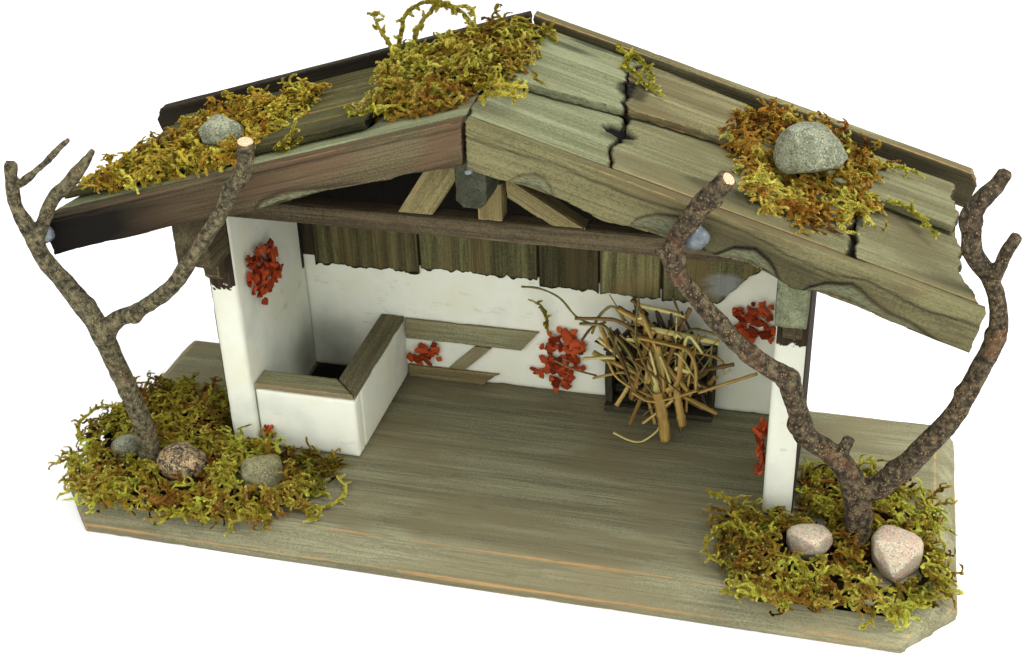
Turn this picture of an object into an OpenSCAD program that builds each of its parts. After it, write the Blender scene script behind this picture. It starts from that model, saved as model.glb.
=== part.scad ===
// Wooden nativity stable: an open-fronted shed with plastered walls, a board roof,
// a low pen, a hay rack, and twigs, moss and pebbles glued on as trees and ground.
// Origin: centre of the base board's underside. X to the right, Y to the back, Z up.

/* [Base board] */
// Width of the base board
base_w = 480; // [470:5:600]
// Depth of the base board
base_d = 185; // [183:1:260]
// Thickness of the base board
base_t = 17.5; // [15:0.5:26]
// Size of the bevel round the base board's top edge
base_bevel = 12; // [3:0.5:14]
// Bevel along the cut-off corners of the base
corner_bevel = 9; // [5:0.5:11]
// Front corner cuts, along the width
front_cut_w = 26; // [6:1:40]
// Front corner cuts, along the depth
front_cut_d = 30; // [6:1:34]
// Back corner cuts, both ways
back_cut = 10; // [3:0.5:14]

/* [Walls] */
// Outer width over the two side walls
walls_w = 312; // [290:2:340]
// Thickness of the side walls
side_wall_t = 16; // [8:0.5:20]
// Front edges of the side walls
wall_front_y = -22; // [-30:1:-18]
// Front face of the back wall
back_wall_y = 69; // [62:0.5:72]
// Thickness of the back wall
back_wall_t = 8; // [4:0.5:10]
// Thickness of the upright boards on the back wall
plank_t = 2.5; // [1.5:0.5:4]
// Gap between the upright boards and the side walls
plank_gap = 6; // [2:0.5:20]
// Lower edge of the upright boards
planks_z = 86; // [80:1:120]

/* [Roof] */
// Slope of the roof, in degrees
roof_pitch = 17.2; // [14:0.2:20]
// Top of the roof boards at the ridge
ridge_z = 242; // [236:1:270]
// Distance from the ridge to the right end of the roof
roof_run = 231; // [228:1:250]
// Distance from the ridge to the left end of the roof
roof_run_left = 224; // [221:1:240]
// Front face of the front edge boards
roof_front_y = -59.7; // [-64:0.5:-56]
// Thickness of the front edge boards
fascia_t = 8; // [5:0.5:11]
// Upright height of the front edge boards
fascia_h = 22.3; // [19:0.1:26]
// Thickness of the back rim boards
rim_t = 8; // [5:0.5:11]
// Upright height of the back rim boards
rim_h = 22; // [19:0.5:26]
// Height that the back rim stands above the roof boards
rim_rise = 6.2; // [2:0.2:10]
// Thickness of the outer roof boards
roof_board_t = 5; // [3:0.5:7]
// Thickness of the under-boarding
deck_t = 3; // [2:0.5:5]
// Width of the grooves along the left roof boards
groove_w = 2.4; // [1:0.2:4]
// Depth of those grooves
groove_d = 1.2; // [0.4:0.2:2]

/* [Truss] */
// Top of the tie beam
tie_top_z = 173.6; // [168:0.2:178]
// Height of the tie beam
tie_h = 11.7; // [8:0.1:16]
// Depth of the truss pieces, front to back
truss_t = 12; // [6:0.5:16]
// Width of the king post
post_w = 12.6; // [8:0.2:18]
// Width of the ridge purlin
purlin_w = 16; // [12:0.5:24]
// Underside of the ridge purlin
purlin_z = 194; // [188:0.5:204]
// Chamfer on the purlin's lower edges
purlin_chamfer = 4; // [1:0.5:6]
// Lean of the left strut from upright, in degrees
left_strut_angle = 32.4; // [22:0.4:40]
// Width of the left strut
left_strut_w = 16; // [8:0.5:20]
// Middle of the left strut's foot, from the centre
left_strut_x = 38.5; // [34:0.5:52]
// Lean of the right strut from upright, in degrees
right_strut_angle = 58.5; // [48:0.5:64]
// Width of the right strut
right_strut_w = 9.4; // [6:0.2:14]
// Middle of the right strut's foot, from the centre
right_strut_x = 39; // [34:0.5:52]

/* [Corbels] */
// Reach of the upper corbels in front of the walls
upper_corbel_reach = 23; // [14:1:26]
// Width of the upper corbels
upper_corbel_w = 15.5; // [8:0.5:16]
// Extra width of the left upper corbel
left_corbel_extra = 4; // [0:0.5:5]
// Underside of the upper corbels
upper_corbel_z = 142; // [136:0.5:152]
// Reach of the lower corbels in front of the walls
lower_corbel_reach = 10; // [5:0.5:14]
// Width of the lower corbels
lower_corbel_w = 13; // [6:0.5:16]
// Height of the lower corbels
lower_corbel_h = 13.5; // [8:0.5:18]
// Chamfer on the corbels' front edges
corbel_chamfer = 3.5; // [1:0.5:4.5]

/* [Pen] */
// Distance of the pen's front behind the walls' front edges
pen_setback = 3; // [0.5:0.5:10]
// Outer width of the pen, from the left wall
pen_w = 59; // [45:1:80]
// Thickness of the pen's panels
pen_panel_t = 10; // [5:0.5:12]
// Top of the pen's panels
pen_panel_z = 55.5; // [40:0.5:72]
// Width of the capping strips
pen_cap_w = 15; // [10:0.5:18]
// Thickness of the capping strips
pen_cap_t = 4; // [2:0.5:6]

/* [Wall strips] */
// Thickness of the strips on the back wall
strip_t = 3; // [1.5:0.5:5]
// Top of the upper strip
upper_strip_z = 58.5; // [52:0.5:64]
// Height of the upper strip
upper_strip_h = 14; // [8:0.5:17]
// Right end of the upper strip's top, from the middle of the wall
upper_strip_end = 2; // [-10:1:3]
// Height of the lower strip
lower_strip_h = 8.9; // [5:0.1:14]
// Right end of the lower strip's top, from the middle of the wall
lower_strip_end = -23; // [-31:1:-11]
// Width of the slanted strip
slant_strip_w = 11.5; // [6:0.5:16]

/* [Hay rack] */
// Width of the rack
rack_w = 63; // [50:1:70]
// Middle of the rack
rack_x = 73.5; // [64:0.5:84]
// Depth of the rack
rack_d = 15; // [12:0.5:20]
// Thickness of the rack's ground board
rack_board_t = 5; // [3:0.5:7]
// Thickness of the rack's two ends
rack_end_t = 5; // [3:0.5:7]
// Height of the rack above its ground board
rack_h = 40; // [34:1:46]
// Height of each slat
rack_slat_h = 6; // [3:0.5:9]
// Thickness of each slat
rack_slat_t = 3; // [1.5:0.5:4]

/* [Twigs] */
// Height of the left twig
left_tree_h = 215; // [205:1:240]
// Radius of the left twig's foot
left_tree_r = 6; // [4.6:0.2:6.4]
// Foot of the left twig, from the centre to the left
left_tree_x = 192.5; // [190:0.5:196]
// Foot of the left twig, in front of the walls
left_tree_front = 30; // [28:0.5:34]
// Height of the right twig
right_tree_h = 215; // [205:1:240]
// Radius of the right twig's foot
right_tree_r = 7; // [5.4:0.2:7.2]
// Foot of the right twig, from the centre to the right
right_tree_x = 188; // [186:0.5:191]
// Foot of the right twig, in front of the walls
right_tree_front = 19; // [17:0.5:21]

/* [Moss, pebbles and straw] */
// Height of the moss on the base board
ground_moss_h = 15; // [9:0.5:20]
// Height of the moss on the roof
roof_moss_h = 11; // [9:0.5:20]
// Height of the moss on the ridge
ridge_moss_h = 13; // [10:0.5:24]
// Widest pebble, on the right of the roof
pebble_l = 34; // [26:1:36]
// Thickness of the terracotta chips
chip_t = 2.2; // [1:0.2:4]
// Radius of the terracotta chips
chip_r = 4.6; // [3:0.1:4.8]
// Lowest chips of the patch on the left wall, behind the wall's front edge
chips_left_y = 8; // [8:0.5:40]
// Height of those chips
chips_left_z = 103; // [70:1:110]
// Left chips of the patch on the right of the back wall, from the right wall
chips_right_inset = 29; // [28:0.5:32]
// Height of those chips
chips_right_z = 69; // [66:0.5:72]
// Height of the lowest chip on the right wall
chips_right_wall_z = 41; // [30:1:80]
// Width of the straw heap
straw_w = 82; // [60:1:90]
// Height of the straw heap
straw_h = 62; // [40:1:80]
// Depth of the straw heap
straw_d = 22; // [12:1:26]

/* [Hidden] */
// Gap that a soft or rough piece keeps from its neighbours
clear_gap = 0.3;
// Thickness of the glue between slanting faces
glue_line = 0.1;
// Overrun of the cuts
over = 1;
// Bulk that trims a piece beyond the whole object
far = base_w * 2;
// Sides of the round shapes in the soft solids
soft_sides = 14;
// Sides of the pebbles
pebble_sides = 16;
// Sides of the twigs
twig_sides = 8;

// Heights of the roof's layers: measured upright at the ridge
board_drop = roof_board_t / cos(roof_pitch);
deck_drop = board_drop + deck_t / cos(roof_pitch);

// The strip of roof between the front edge board and the back rim
field_y0 = roof_front_y + fascia_t;
field_y1 = back_wall_y;
field_d = field_y1 - field_y0;

wall_x0 = walls_w / 2 - side_wall_t;
wall_x1 = walls_w / 2;
planks_w = 2 * (wall_x0 - plank_gap);

// Height of the roof boards' top plane at a distance from the ridge
function roof_z(x) = ridge_z - abs(x) * tan(roof_pitch);
function deck_under_z(x) = roof_z(x) - deck_drop - glue_line;
function shares_to_points(shares, size) = [for (s = shares) [s[0] * size[0], s[1] * size[1]]];

// Puts a flat outline, drawn in X and Z, upright and gives it a depth along Y
module upright(y, depth)
    translate([0, y + depth, 0])
        rotate([90, 0, 0])
            linear_extrude(height = depth)
                children();

// Puts a flat outline, drawn in Y and Z, upright and gives it a length along X
module sideways(x, length)
    translate([x, 0, 0])
        rotate([90, 0, 90])
            linear_extrude(height = length)
                children();

// Turns the right half of the roof into the left one
module on_side(side)
    mirror([side < 0 ? 1 : 0, 0, 0])
        children();

// The strip between two planes that run with the right slope, seen from the front
module slope_band(x0, x1, top_drop, bottom_drop)
    polygon([
        [x0, roof_z(x0) - top_drop], [x1, roof_z(x1) - top_drop],
        [x1, roof_z(x1) - bottom_drop], [x0, roof_z(x0) - bottom_drop]
    ]);

// Base board: bevelled both ways, then its four corners are cut off with a smaller bevel
module bevelled_profile(width)
    polygon([
        [-width / 2, 0], [width / 2, 0],
        [width / 2, base_t - base_bevel], [width / 2 - base_bevel, base_t],
        [-width / 2 + base_bevel, base_t], [-width / 2, base_t - base_bevel]
    ]);

module corner_cut(p, q) {
    length = norm(q - p);
    translate([p[0], p[1], 0])
        rotate([0, 0, atan2(q[1] - p[1], q[0] - p[0])])
            sideways(-length, 3 * length)
                polygon([
                    [0, -over], [0, base_t - corner_bevel],
                    [corner_bevel + over, base_t + over],
                    [-far, base_t + over], [-far, -over]
                ]);
}

half_w = base_w / 2;
half_d = base_d / 2;
corner_edges = [
    [[-half_w, -half_d + front_cut_d], [-half_w + front_cut_w, -half_d]],
    [[half_w - front_cut_w, -half_d], [half_w, -half_d + front_cut_d]],
    [[half_w, half_d - back_cut], [half_w - back_cut, half_d]],
    [[-half_w + back_cut, half_d], [-half_w, half_d - back_cut]]
];

module base_board()
    color("darkkhaki")
    difference() {
        intersection() {
            upright(-base_d, 2 * base_d)
                bevelled_profile(base_w);
            sideways(-base_w, 2 * base_w)
                bevelled_profile(base_d);
        }
        for (edge = corner_edges)
            corner_cut(edge[0], edge[1]);
    }

// Walls
module side_wall(side)
    color("ivory")
    on_side(side)
        upright(wall_front_y, back_wall_y - wall_front_y)
            polygon([
                [wall_x0, base_t], [wall_x1, base_t],
                [wall_x1, deck_under_z(wall_x1)], [wall_x0, deck_under_z(wall_x0)]
            ]);

rim_under = rim_h - rim_rise + glue_line;

module back_wall()
    color("ivory")
    upright(back_wall_y, back_wall_t)
        polygon([
            [-wall_x1, base_t], [wall_x1, base_t],
            [wall_x1, roof_z(wall_x1) - rim_under], [0, ridge_z - rim_under],
            [-wall_x1, roof_z(wall_x1) - rim_under]
        ]);

// Upright boards on the back wall: edges as shares of the covered width, lower ends as
// shares of the lower edge's height; the last board is split, so its end rises
plank_edge_shares = [0, 0.244, 0.506, 0.637, 0.767, 1];
plank_end_shares = [1.02, 1.058, 1.012, 1.005, 1];
split_plank = 4;
split_end_shares = [[0.5, 1.01], [0.72, 1.2], [1, 1.37]];

module back_plank(i) {
    x0 = -planks_w / 2 + plank_edge_shares[i] * planks_w;
    x1 = -planks_w / 2 + plank_edge_shares[i + 1] * planks_w - glue_line;
    color("saddlebrown")
    upright(back_wall_y - plank_t, plank_t)
        difference() {
            polygon([
                [x0, planks_z * plank_end_shares[i]],
                if (i < split_plank) [x1, planks_z * plank_end_shares[i]]
                else each [for (s = split_end_shares) [x0 + s[0] * (x1 - x0), planks_z * s[1]]],
                [x1, deck_under_z(x1)],
                if (x0 * x1 < 0) [0, deck_under_z(0)],
                [x0, deck_under_z(x0)]
            ]);
            purlin_outline(glue_line);
        }
}

// Truss
module tie_beam()
    color("sienna")
    translate([-wall_x0, wall_front_y, tie_top_z - tie_h])
        cube([2 * wall_x0, truss_t, tie_h]);

module king_post()
    color("tan")
    translate([-post_w / 2, wall_front_y, tie_top_z])
        cube([post_w, truss_t, purlin_z - tie_top_z]);

// Cross-section of the ridge purlin, with its top cut to the roof
module purlin_outline(grow)
    polygon([
        [-purlin_w / 2 + purlin_chamfer, purlin_z - grow],
        [purlin_w / 2 - purlin_chamfer, purlin_z - grow],
        [purlin_w / 2 + grow, purlin_z + purlin_chamfer],
        [purlin_w / 2 + grow, deck_under_z(purlin_w / 2)],
        [0, deck_under_z(0)],
        [-purlin_w / 2 - grow, deck_under_z(purlin_w / 2)],
        [-purlin_w / 2 - grow, purlin_z + purlin_chamfer]
    ]);

module ridge_purlin()
    color("dimgray")
    upright(field_y0, back_wall_y - field_y0)
        purlin_outline(0);

// A strut leans in from the tie beam until it meets the post or the purlin
module strut_outline(foot_x, width, angle) {
    half = width / cos(angle) / 2;
    rise = deck_under_z(0) - tie_top_z;
    bay_x = max(post_w, purlin_w) / 2 + glue_line;
    intersection() {
        polygon([
            [foot_x - half, tie_top_z], [foot_x + half, tie_top_z],
            [foot_x + half - rise * tan(angle), tie_top_z + rise],
            [foot_x - half - rise * tan(angle), tie_top_z + rise]
        ]);
        polygon([
            [bay_x, tie_top_z], [wall_x0, tie_top_z],
            [wall_x0, deck_under_z(wall_x0)], [bay_x, deck_under_z(bay_x)]
        ]);
    }
}

module strut(side, foot_x, width, angle)
    color("tan")
    on_side(side)
        upright(wall_front_y, truss_t)
            strut_outline(foot_x, width, angle);

// Corbels
module corbel_upper(side) {
    width = upper_corbel_w + (side < 0 ? left_corbel_extra : 0);
    top = deck_under_z(wall_x0 + width);
    color("gray")
    on_side(side)
        sideways(wall_x0, width)
            polygon([
                [wall_front_y, upper_corbel_z],
                [wall_front_y - upper_corbel_reach + corbel_chamfer, upper_corbel_z],
                [wall_front_y - upper_corbel_reach, upper_corbel_z + corbel_chamfer],
                [wall_front_y - upper_corbel_reach, top],
                [wall_front_y, top]
            ]);
}

module corbel_lower(side)
    color("dimgray")
    on_side(side)
        sideways(wall_x0 + corbel_chamfer, lower_corbel_w - corbel_chamfer)
            polygon([
                [wall_front_y, upper_corbel_z - lower_corbel_h],
                [wall_front_y - lower_corbel_reach + corbel_chamfer, upper_corbel_z - lower_corbel_h],
                [wall_front_y - lower_corbel_reach, upper_corbel_z - lower_corbel_h + corbel_chamfer],
                [wall_front_y - lower_corbel_reach, upper_corbel_z - corbel_chamfer],
                [wall_front_y - lower_corbel_reach + corbel_chamfer, upper_corbel_z],
                [wall_front_y, upper_corbel_z]
            ]);

// Roof: the under-boarding, and the boards along its front and back edges
deck_end_share = 0.94;

module roof_deck(side)
    color("saddlebrown")
    on_side(side)
        upright(field_y0, field_d)
            slope_band(glue_line, roof_run_left * deck_end_share, board_drop, deck_drop);

// Lower edges of the front boards: distance from the ridge as a share of the run,
// and height as a share of the board's height, by hand
right_edge_shares = [
    [0, 1.07], [0.07, 1.05], [0.12, 0.99], [0.2, 1], [0.27, 1.13], [0.33, 1.02], [0.4, 0.99],
    [0.49, 0.96], [0.55, 0.87], [0.6, 0.97], [0.64, 1.07], [0.69, 0.94], [0.76, 0.93],
    [0.83, 1], [0.9, 1.02], [0.98, 1.05]
];
left_edge_shares = [
    [0, 1.04], [0.09, 0.98], [0.13, 0.93], [0.16, 0.98], [0.3, 0.92], [0.45, 1], [0.53, 1.02],
    [0.6, 0.97], [0.66, 0.94], [0.74, 0.97], [0.79, 0.99], [0.88, 0.97], [0.98, 1.02]
];

module fascia(side, run, edge_shares)
    color("olive")
    on_side(side)
        upright(roof_front_y, fascia_t)
            polygon([
                [glue_line / 2, roof_z(0)], [run, roof_z(run)],
                for (i = [len(edge_shares) - 1 : -1 : 0])
                    [
                        max(edge_shares[i][0] * run, glue_line / 2),
                        roof_z(edge_shares[i][0] * run) - edge_shares[i][1] * fascia_h
                    ]
            ]);

module back_rim(side, run)
    color("dimgray")
    on_side(side)
        upright(back_wall_y, rim_t)
            polygon([
                [glue_line / 2, roof_z(0) + rim_rise],
                [run - rim_t / 2, roof_z(run - rim_t / 2) + rim_rise],
                [run, roof_z(run)], [run - rim_t / 2, roof_z(run) - rim_h + rim_rise + rim_t / 4],
                [glue_line / 2, roof_z(0) - rim_h + rim_rise]
            ]);

// Outline of a roof board in plan, from shares of the run and of the roof's field
function board_plan(run, shares) =
    [
        for (s = shares)
            [max(s[0] * run, glue_line / 2), field_y0 + glue_line + s[1] * (field_d - 2 * glue_line)]
    ];

// A board that lies flat on the under-boarding
module flat_board(side, run, shares)
    color("olivedrab")
    on_side(side)
        intersection() {
            linear_extrude(height = far)
                polygon(board_plan(run, shares));
            upright(field_y0, field_d)
                slope_band(0, run, 0, board_drop - glue_line);
        }

// The slab between a lapped board's faces: its back lies on the under-boarding and its
// front rests on the row before; grow raises the top and depth sets how far down it goes
module lapped_slab(run, rest_share, back_share, grow, depth) {
    rest_y = field_y0 + rest_share * field_d;
    tilt = atan(roof_board_t / ((back_share - rest_share) * field_d));
    translate([0, 0, ridge_z + glue_line / cos(roof_pitch)])
        rotate([0, roof_pitch, 0])
            translate([-run / 2, rest_y, 0])
                rotate([-tilt, 0, 0])
                    translate([0, -field_d, roof_board_t + grow - depth])
                        cube([2 * run, 2 * field_d, depth]);
}

module lapped_board(side, run, shares, rest_share, back_share)
    color("olivedrab")
    on_side(side)
        intersection() {
            linear_extrude(height = far)
                polygon(board_plan(run, shares));
            lapped_slab(run, rest_share, back_share, 0, roof_board_t);
        }

// Plans of the boards: by hand, each point a share of the run and of the field's depth
left_1_shares = [[0, 0], [0.98, 0], [0.955, 0.06], [0.94, 0.12], [0.23, 0.12], [0.22, 0.36], [0, 0.36]];
left_2_shares = [
    [0.225, 0.06], [0.97, 0.055], [0.95, 0.14], [0.955, 0.2], [0.93, 0.3], [0.94, 0.42],
    [0.915, 0.5], [0.925, 0.6], [0.9, 0.7], [0.915, 0.78], [0.91, 0.845], [0.225, 0.845]
];
left_3_shares = [[0, 0.365], [0.22, 0.365], [0.22, 0.845], [0, 0.845]];
left_4_shares = [[0, 0.87], [0.91, 0.865], [0.905, 0.93], [0.91, 0.98], [0, 0.98]];
right_1_shares = [[0, 0], [0.275, 0], [0.262, 0.18], [0.28, 0.3], [0.258, 0.45], [0, 0.45]];
right_2_shares = [
    [0.28, 0], [0.735, 0], [0.74, 0.1], [0.728, 0.18], [0.745, 0.3], [0.735, 0.53],
    [0.264, 0.53], [0.284, 0.3], [0.268, 0.18]
];
right_3_shares = [
    [0.75, 0], [0.985, 0], [0.965, 0.12], [0.95, 0.2], [0.955, 0.36], [0.945, 0.53], [0.742, 0.53]
];
right_4_shares = [
    [0, 0.315], [0.14, 0.36], [0.262, 0.425], [0.25, 0.6], [0.235, 0.8], [0.262, 0.97], [0, 0.965]
];
right_5_shares = [
    [0.268, 0.432], [0.35, 0.46], [0.485, 0.49], [0.48, 0.7], [0.49, 0.93], [0.27, 0.97],
    [0.24, 0.8]
];
right_6_shares = [
    [0.492, 0.485], [0.6, 0.5], [0.8, 0.44], [0.942, 0.435], [0.948, 0.6], [0.938, 0.78],
    [0.946, 0.96], [0.5, 0.95], [0.495, 0.7]
];

// Where the lapped boards rest on the row before, and where their undersides meet the deck
// or, past 1, would meet it, as shares of the field's depth
left_2_rest_share = 0.12;
left_2_back_share = 0.845;
right_4_rest_share = 0.45;
right_4_back_share = 2;
right_56_rest_share = 0.53;
right_5_back_share = 2;
right_6_back_share = 0.96;

// Grooves along the raised left board, as shares of the field's depth
groove_shares = [0.24, 0.4, 0.47, 0.62, 0.72];

module roof_board_left_2()
    color("olivedrab")
    difference() {
        lapped_board(-1, roof_run_left, left_2_shares, left_2_rest_share, left_2_back_share);
        on_side(-1)
            intersection() {
                for (s = groove_shares)
                    translate([0, field_y0 + s * field_d, 0])
                        cube([far, groove_w, far]);
                lapped_slab(roof_run_left, left_2_rest_share, left_2_back_share, over, groove_d + over);
            }
    }

// Pen in the left corner
pen_x0 = -wall_x0;
pen_x1 = -wall_x0 + pen_w;
pen_front_y = wall_front_y + pen_setback;

module pen_front()
    color("ivory")
    translate([pen_x0, pen_front_y, base_t])
        cube([pen_w, pen_panel_t, pen_panel_z - base_t]);

module pen_side()
    color("ivory")
    translate([pen_x1 - pen_panel_t, pen_front_y + pen_panel_t, base_t])
        cube([pen_panel_t, back_wall_y - pen_front_y - pen_panel_t, pen_panel_z - base_t]);

// The capping strips meet in a mitre
module pen_cap_front()
    color("sandybrown")
    translate([0, 0, pen_panel_z])
        linear_extrude(height = pen_cap_t)
            polygon([
                [pen_x0, pen_front_y], [pen_x1 - glue_line, pen_front_y],
                [pen_x1 - pen_cap_w - glue_line, pen_front_y + pen_cap_w],
                [pen_x0, pen_front_y + pen_cap_w]
            ]);

module pen_cap_side()
    color("sandybrown")
    translate([0, 0, pen_panel_z])
        linear_extrude(height = pen_cap_t)
            polygon([
                [pen_x1, pen_front_y], [pen_x1, back_wall_y],
                [pen_x1 - pen_cap_w, back_wall_y], [pen_x1 - pen_cap_w, pen_front_y + pen_cap_w]
            ]);

// Strips on the back wall, right of the pen; the ends slant by these shares of the height
lower_strip_z = base_t + lower_strip_h;
upper_slant_share = 0.8;
lower_slant_share = 1.2;
// Start of the slanted strip's foot, as a share of the lower strip's length
slant_foot_share = 0.431;

module strip_upper()
    color("gray")
    upright(back_wall_y - strip_t, strip_t)
        polygon([
            [pen_x1, upper_strip_z], [upper_strip_end, upper_strip_z],
            [upper_strip_end - upper_strip_h * upper_slant_share, upper_strip_z - upper_strip_h],
            [pen_x1, upper_strip_z - upper_strip_h]
        ]);

module strip_lower()
    color("gray")
    upright(back_wall_y - strip_t, strip_t)
        polygon([
            [pen_x1, lower_strip_z], [lower_strip_end, lower_strip_z],
            [lower_strip_end - lower_strip_h * lower_slant_share, base_t], [pen_x1, base_t]
        ]);

module strip_slanted() {
    foot_x = pen_x1 + slant_foot_share * (lower_strip_end - pen_x1);
    rise = upper_strip_z - upper_strip_h - lower_strip_z;
    color("gray")
    upright(back_wall_y - strip_t, strip_t)
        polygon([
            [foot_x, lower_strip_z], [foot_x + slant_strip_w, lower_strip_z],
            [foot_x + slant_strip_w + rise, lower_strip_z + rise], [foot_x + rise, lower_strip_z + rise]
        ]);
}

// Terracotta chips: places in the patch as shares of the chip's radius, by hand
chip_left_shares = [
    [3, 0.3], [5.15, 0], [7.3, 0.2], [9.45, 0.6], [1.3, 1.9], [4.15, 2.1], [6.25, 2.1], [8.4, 2.45],
    [0.2, 3.9], [2.6, 3.9], [4.9, 4.1], [7.1, 4.3], [0.5, 6.1], [3.2, 6.1], [5.6, 6.3]
];
chip_left_edge_shares = [[0, 0], [0.8, 2.1]];
chip_pen_shares = [[0, 0], [2.05, 0.1], [1, 1.8], [3.15, 1.8]];
chip_centre_shares = [
    [2.4, 0], [4.4, 0.6], [0.6, 1.6], [2.8, 2.1], [5, 2.7], [0.5, 3.9], [2.7, 4.3], [4.9, 4.9],
    [1.5, 6.1], [3.7, 6.6], [5.8, 7.1], [2.1, 8.3], [4.2, 8.9]
];
chip_right_shares = [[0.2, 4], [2.3, 4.4], [4.4, 4.7], [1.2, 2], [3.4, 2.4], [2.6, 0.3], [4.7, 0.6]];
chip_right_wall_shares = [[0, 0], [0.6, 2.1], [0, 4.2], [0.7, 6.3]];
chip_angle = 47;

module chips_on(places)
    for (i = [0 : len(places) - 1])
        translate([places[i][0] * chip_r, places[i][1] * chip_r, 0])
            rotate([0, 0, chip_angle * i])
                linear_extrude(height = chip_t)
                    circle(r = chip_r, $fn = 5);

module chips_left_wall()
    color("orangered") {
        translate([-wall_x0, wall_front_y + chips_left_y, chips_left_z])
            rotate([90, 0, 90])
                chips_on(chip_left_shares);
        translate([-wall_x0 + chip_r + clear_gap, pen_front_y, base_t + chip_r])
            rotate([90, 0, 0])
                chips_on(chip_left_edge_shares);
    }

module chips_back_wall()
    color("orangered")
    translate([0, back_wall_y, 0])
        rotate([90, 0, 0]) {
            translate([pen_x1 + chip_r + clear_gap, lower_strip_z + chip_r, 0])
                chips_on(chip_pen_shares);
            translate([0, base_t + chip_r, 0])
                chips_on(chip_centre_shares);
            translate([wall_x0 - chips_right_inset, chips_right_z, 0])
                chips_on(chip_right_shares);
        }

module chips_right_wall()
    color("orangered")
    translate([wall_x0, wall_front_y + chip_r, chips_right_wall_z])
        rotate([90, 0, -90])
            mirror([1, 0, 0])
                chips_on(chip_right_wall_shares);

// Hay rack against the back wall
rack_y0 = back_wall_y - rack_d - clear_gap;

module rack_board()
    color("darkslategray")
    translate([rack_x - rack_w / 2, rack_y0, base_t])
        cube([rack_w, rack_d, rack_board_t]);

rack_end_shares = [[0.2, 0], [1, 0], [1, 1], [0.55, 1], [0.25, 0.85], [0, 0.5], [0.08, 0.2]];

module rack_ends()
    color("darkslategray")
    for (x = [rack_x - rack_w / 2, rack_x + rack_w / 2 - rack_end_t])
        translate([0, rack_y0, base_t + rack_board_t])
            sideways(x, rack_end_t)
                polygon(shares_to_points(rack_end_shares, [rack_d, rack_h]));

// Slats between the ends, at shares of the rack's height
rack_slat_shares = [0.12, 0.42, 0.72];

module rack_slats()
    color("darkslategray")
    for (s = rack_slat_shares)
        translate([
            rack_x - rack_w / 2 + rack_end_t,
            rack_y0 + rack_d / 2,
            base_t + rack_board_t + s * rack_h
        ])
            cube([rack_w - 2 * rack_end_t, rack_slat_t, rack_slat_h]);

// Straw: one plain heap in front of the rack
straw_shares = [[-0.5, 0], [0.5, 0], [0.42, 0.35], [0.25, 0.9], [0.1, 1], [-0.25, 0.95], [-0.45, 0.55]];

module straw()
    color("goldenrod")
    upright(rack_y0 - clear_gap - straw_d, straw_d)
        translate([rack_x, base_t])
            polygon(shares_to_points(straw_shares, [straw_w, straw_h]));

// Twigs: each limb is a row of points, by hand, as shares of the twig's height from its
// foot, and of the radius of its foot
left_trunk_shares = [
    [0, 0, -0.04, 1], [0.01, -0.01, 0.12, 0.95], [0, -0.02, 0.23, 0.86], [-0.03, -0.05, 0.43, 0.92]
];
left_limb_shares = [
    [-0.03, -0.05, 0.43, 0.92], [-0.08, -0.07, 0.57, 0.8], [-0.13, -0.08, 0.65, 0.75],
    [-0.14, -0.08, 0.7, 0.7], [-0.16, -0.09, 0.78, 0.57], [-0.14, -0.1, 0.88, 0.48]
];
left_inner_shares = [
    [-0.14, -0.08, 0.7, 0.66], [-0.08, -0.08, 0.79, 0.57], [-0.03, -0.08, 0.83, 0.55],
    [0.04, -0.08, 0.9, 0.3]
];
left_twig_shares = [
    [-0.14, -0.1, 0.85, 0.34], [-0.1, -0.1, 0.86, 0.32], [-0.02, -0.1, 0.93, 0.3],
    [0.01, -0.1, 0.95, 0.24]
];
left_right_limb_shares = [
    [-0.03, -0.05, 0.43, 0.88], [0.02, -0.05, 0.47, 0.81], [0.08, -0.06, 0.51, 0.72],
    [0.2, -0.08, 0.61, 0.65],
    [0.32, -0.09, 0.76, 0.63], [0.39, -0.11, 0.86, 0.65], [0.42, -0.11, 0.9, 0.68],
    [0.45, -0.12, 0.99, 0.7]
];
right_trunk_shares = [[0, 0, -0.04, 1.04], [0, 0, 0.12, 0.98], [-0.01, -0.03, 0.2, 0.96]];
right_left_limb_shares = [
    [-0.01, -0.03, 0.2, 0.9], [-0.04, -0.04, 0.26, 0.82], [-0.13, -0.06, 0.34, 0.78],
    [-0.16, -0.07, 0.45, 0.74],
    [-0.18, -0.09, 0.5, 0.75], [-0.22, -0.09, 0.53, 0.66], [-0.31, -0.11, 0.61, 0.64],
    [-0.38, -0.12, 0.7, 0.61],
    [-0.43, -0.13, 0.78, 0.63], [-0.42, -0.13, 0.85, 0.64], [-0.32, -0.16, 0.99, 0.62]
];
right_limb_shares = [
    [-0.01, -0.03, 0.2, 0.9], [0.03, -0.03, 0.22, 0.88], [0.1, -0.03, 0.3, 0.81],
    [0.15, -0.03, 0.39, 0.73],
    [0.19, -0.03, 0.5, 0.68], [0.225, -0.03, 0.61, 0.65], [0.23, -0.025, 0.68, 0.58],
    [0.215, -0.02, 0.75, 0.58],
    [0.16, -0.02, 0.81, 0.64], [0.145, -0.02, 0.89, 0.68], [0.19, -0.025, 0.99, 0.5]
];
right_outer_shares = [[0.2, -0.03, 0.77, 0.46], [0.225, -0.03, 0.84, 0.4], [0.24, -0.03, 0.87, 0.36]];
right_stump_shares = [[-0.055, -0.04, 0.28, 0.5], [-0.04, -0.04, 0.34, 0.4]];

// One limb, hulled from point to point; grow widens it for the clearances round it
module limb(shares, height, radius, grow)
    for (i = [0 : len(shares) - 2])
        hull()
            for (s = [shares[i], shares[i + 1]])
                translate([s[0] * height, s[1] * height, s[2] * height])
                    sphere(r = s[3] * radius + grow, $fn = twig_sides);

left_foot = [-left_tree_x, wall_front_y - left_tree_front, base_t];
right_foot = [right_tree_x, wall_front_y - right_tree_front, base_t];

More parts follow.
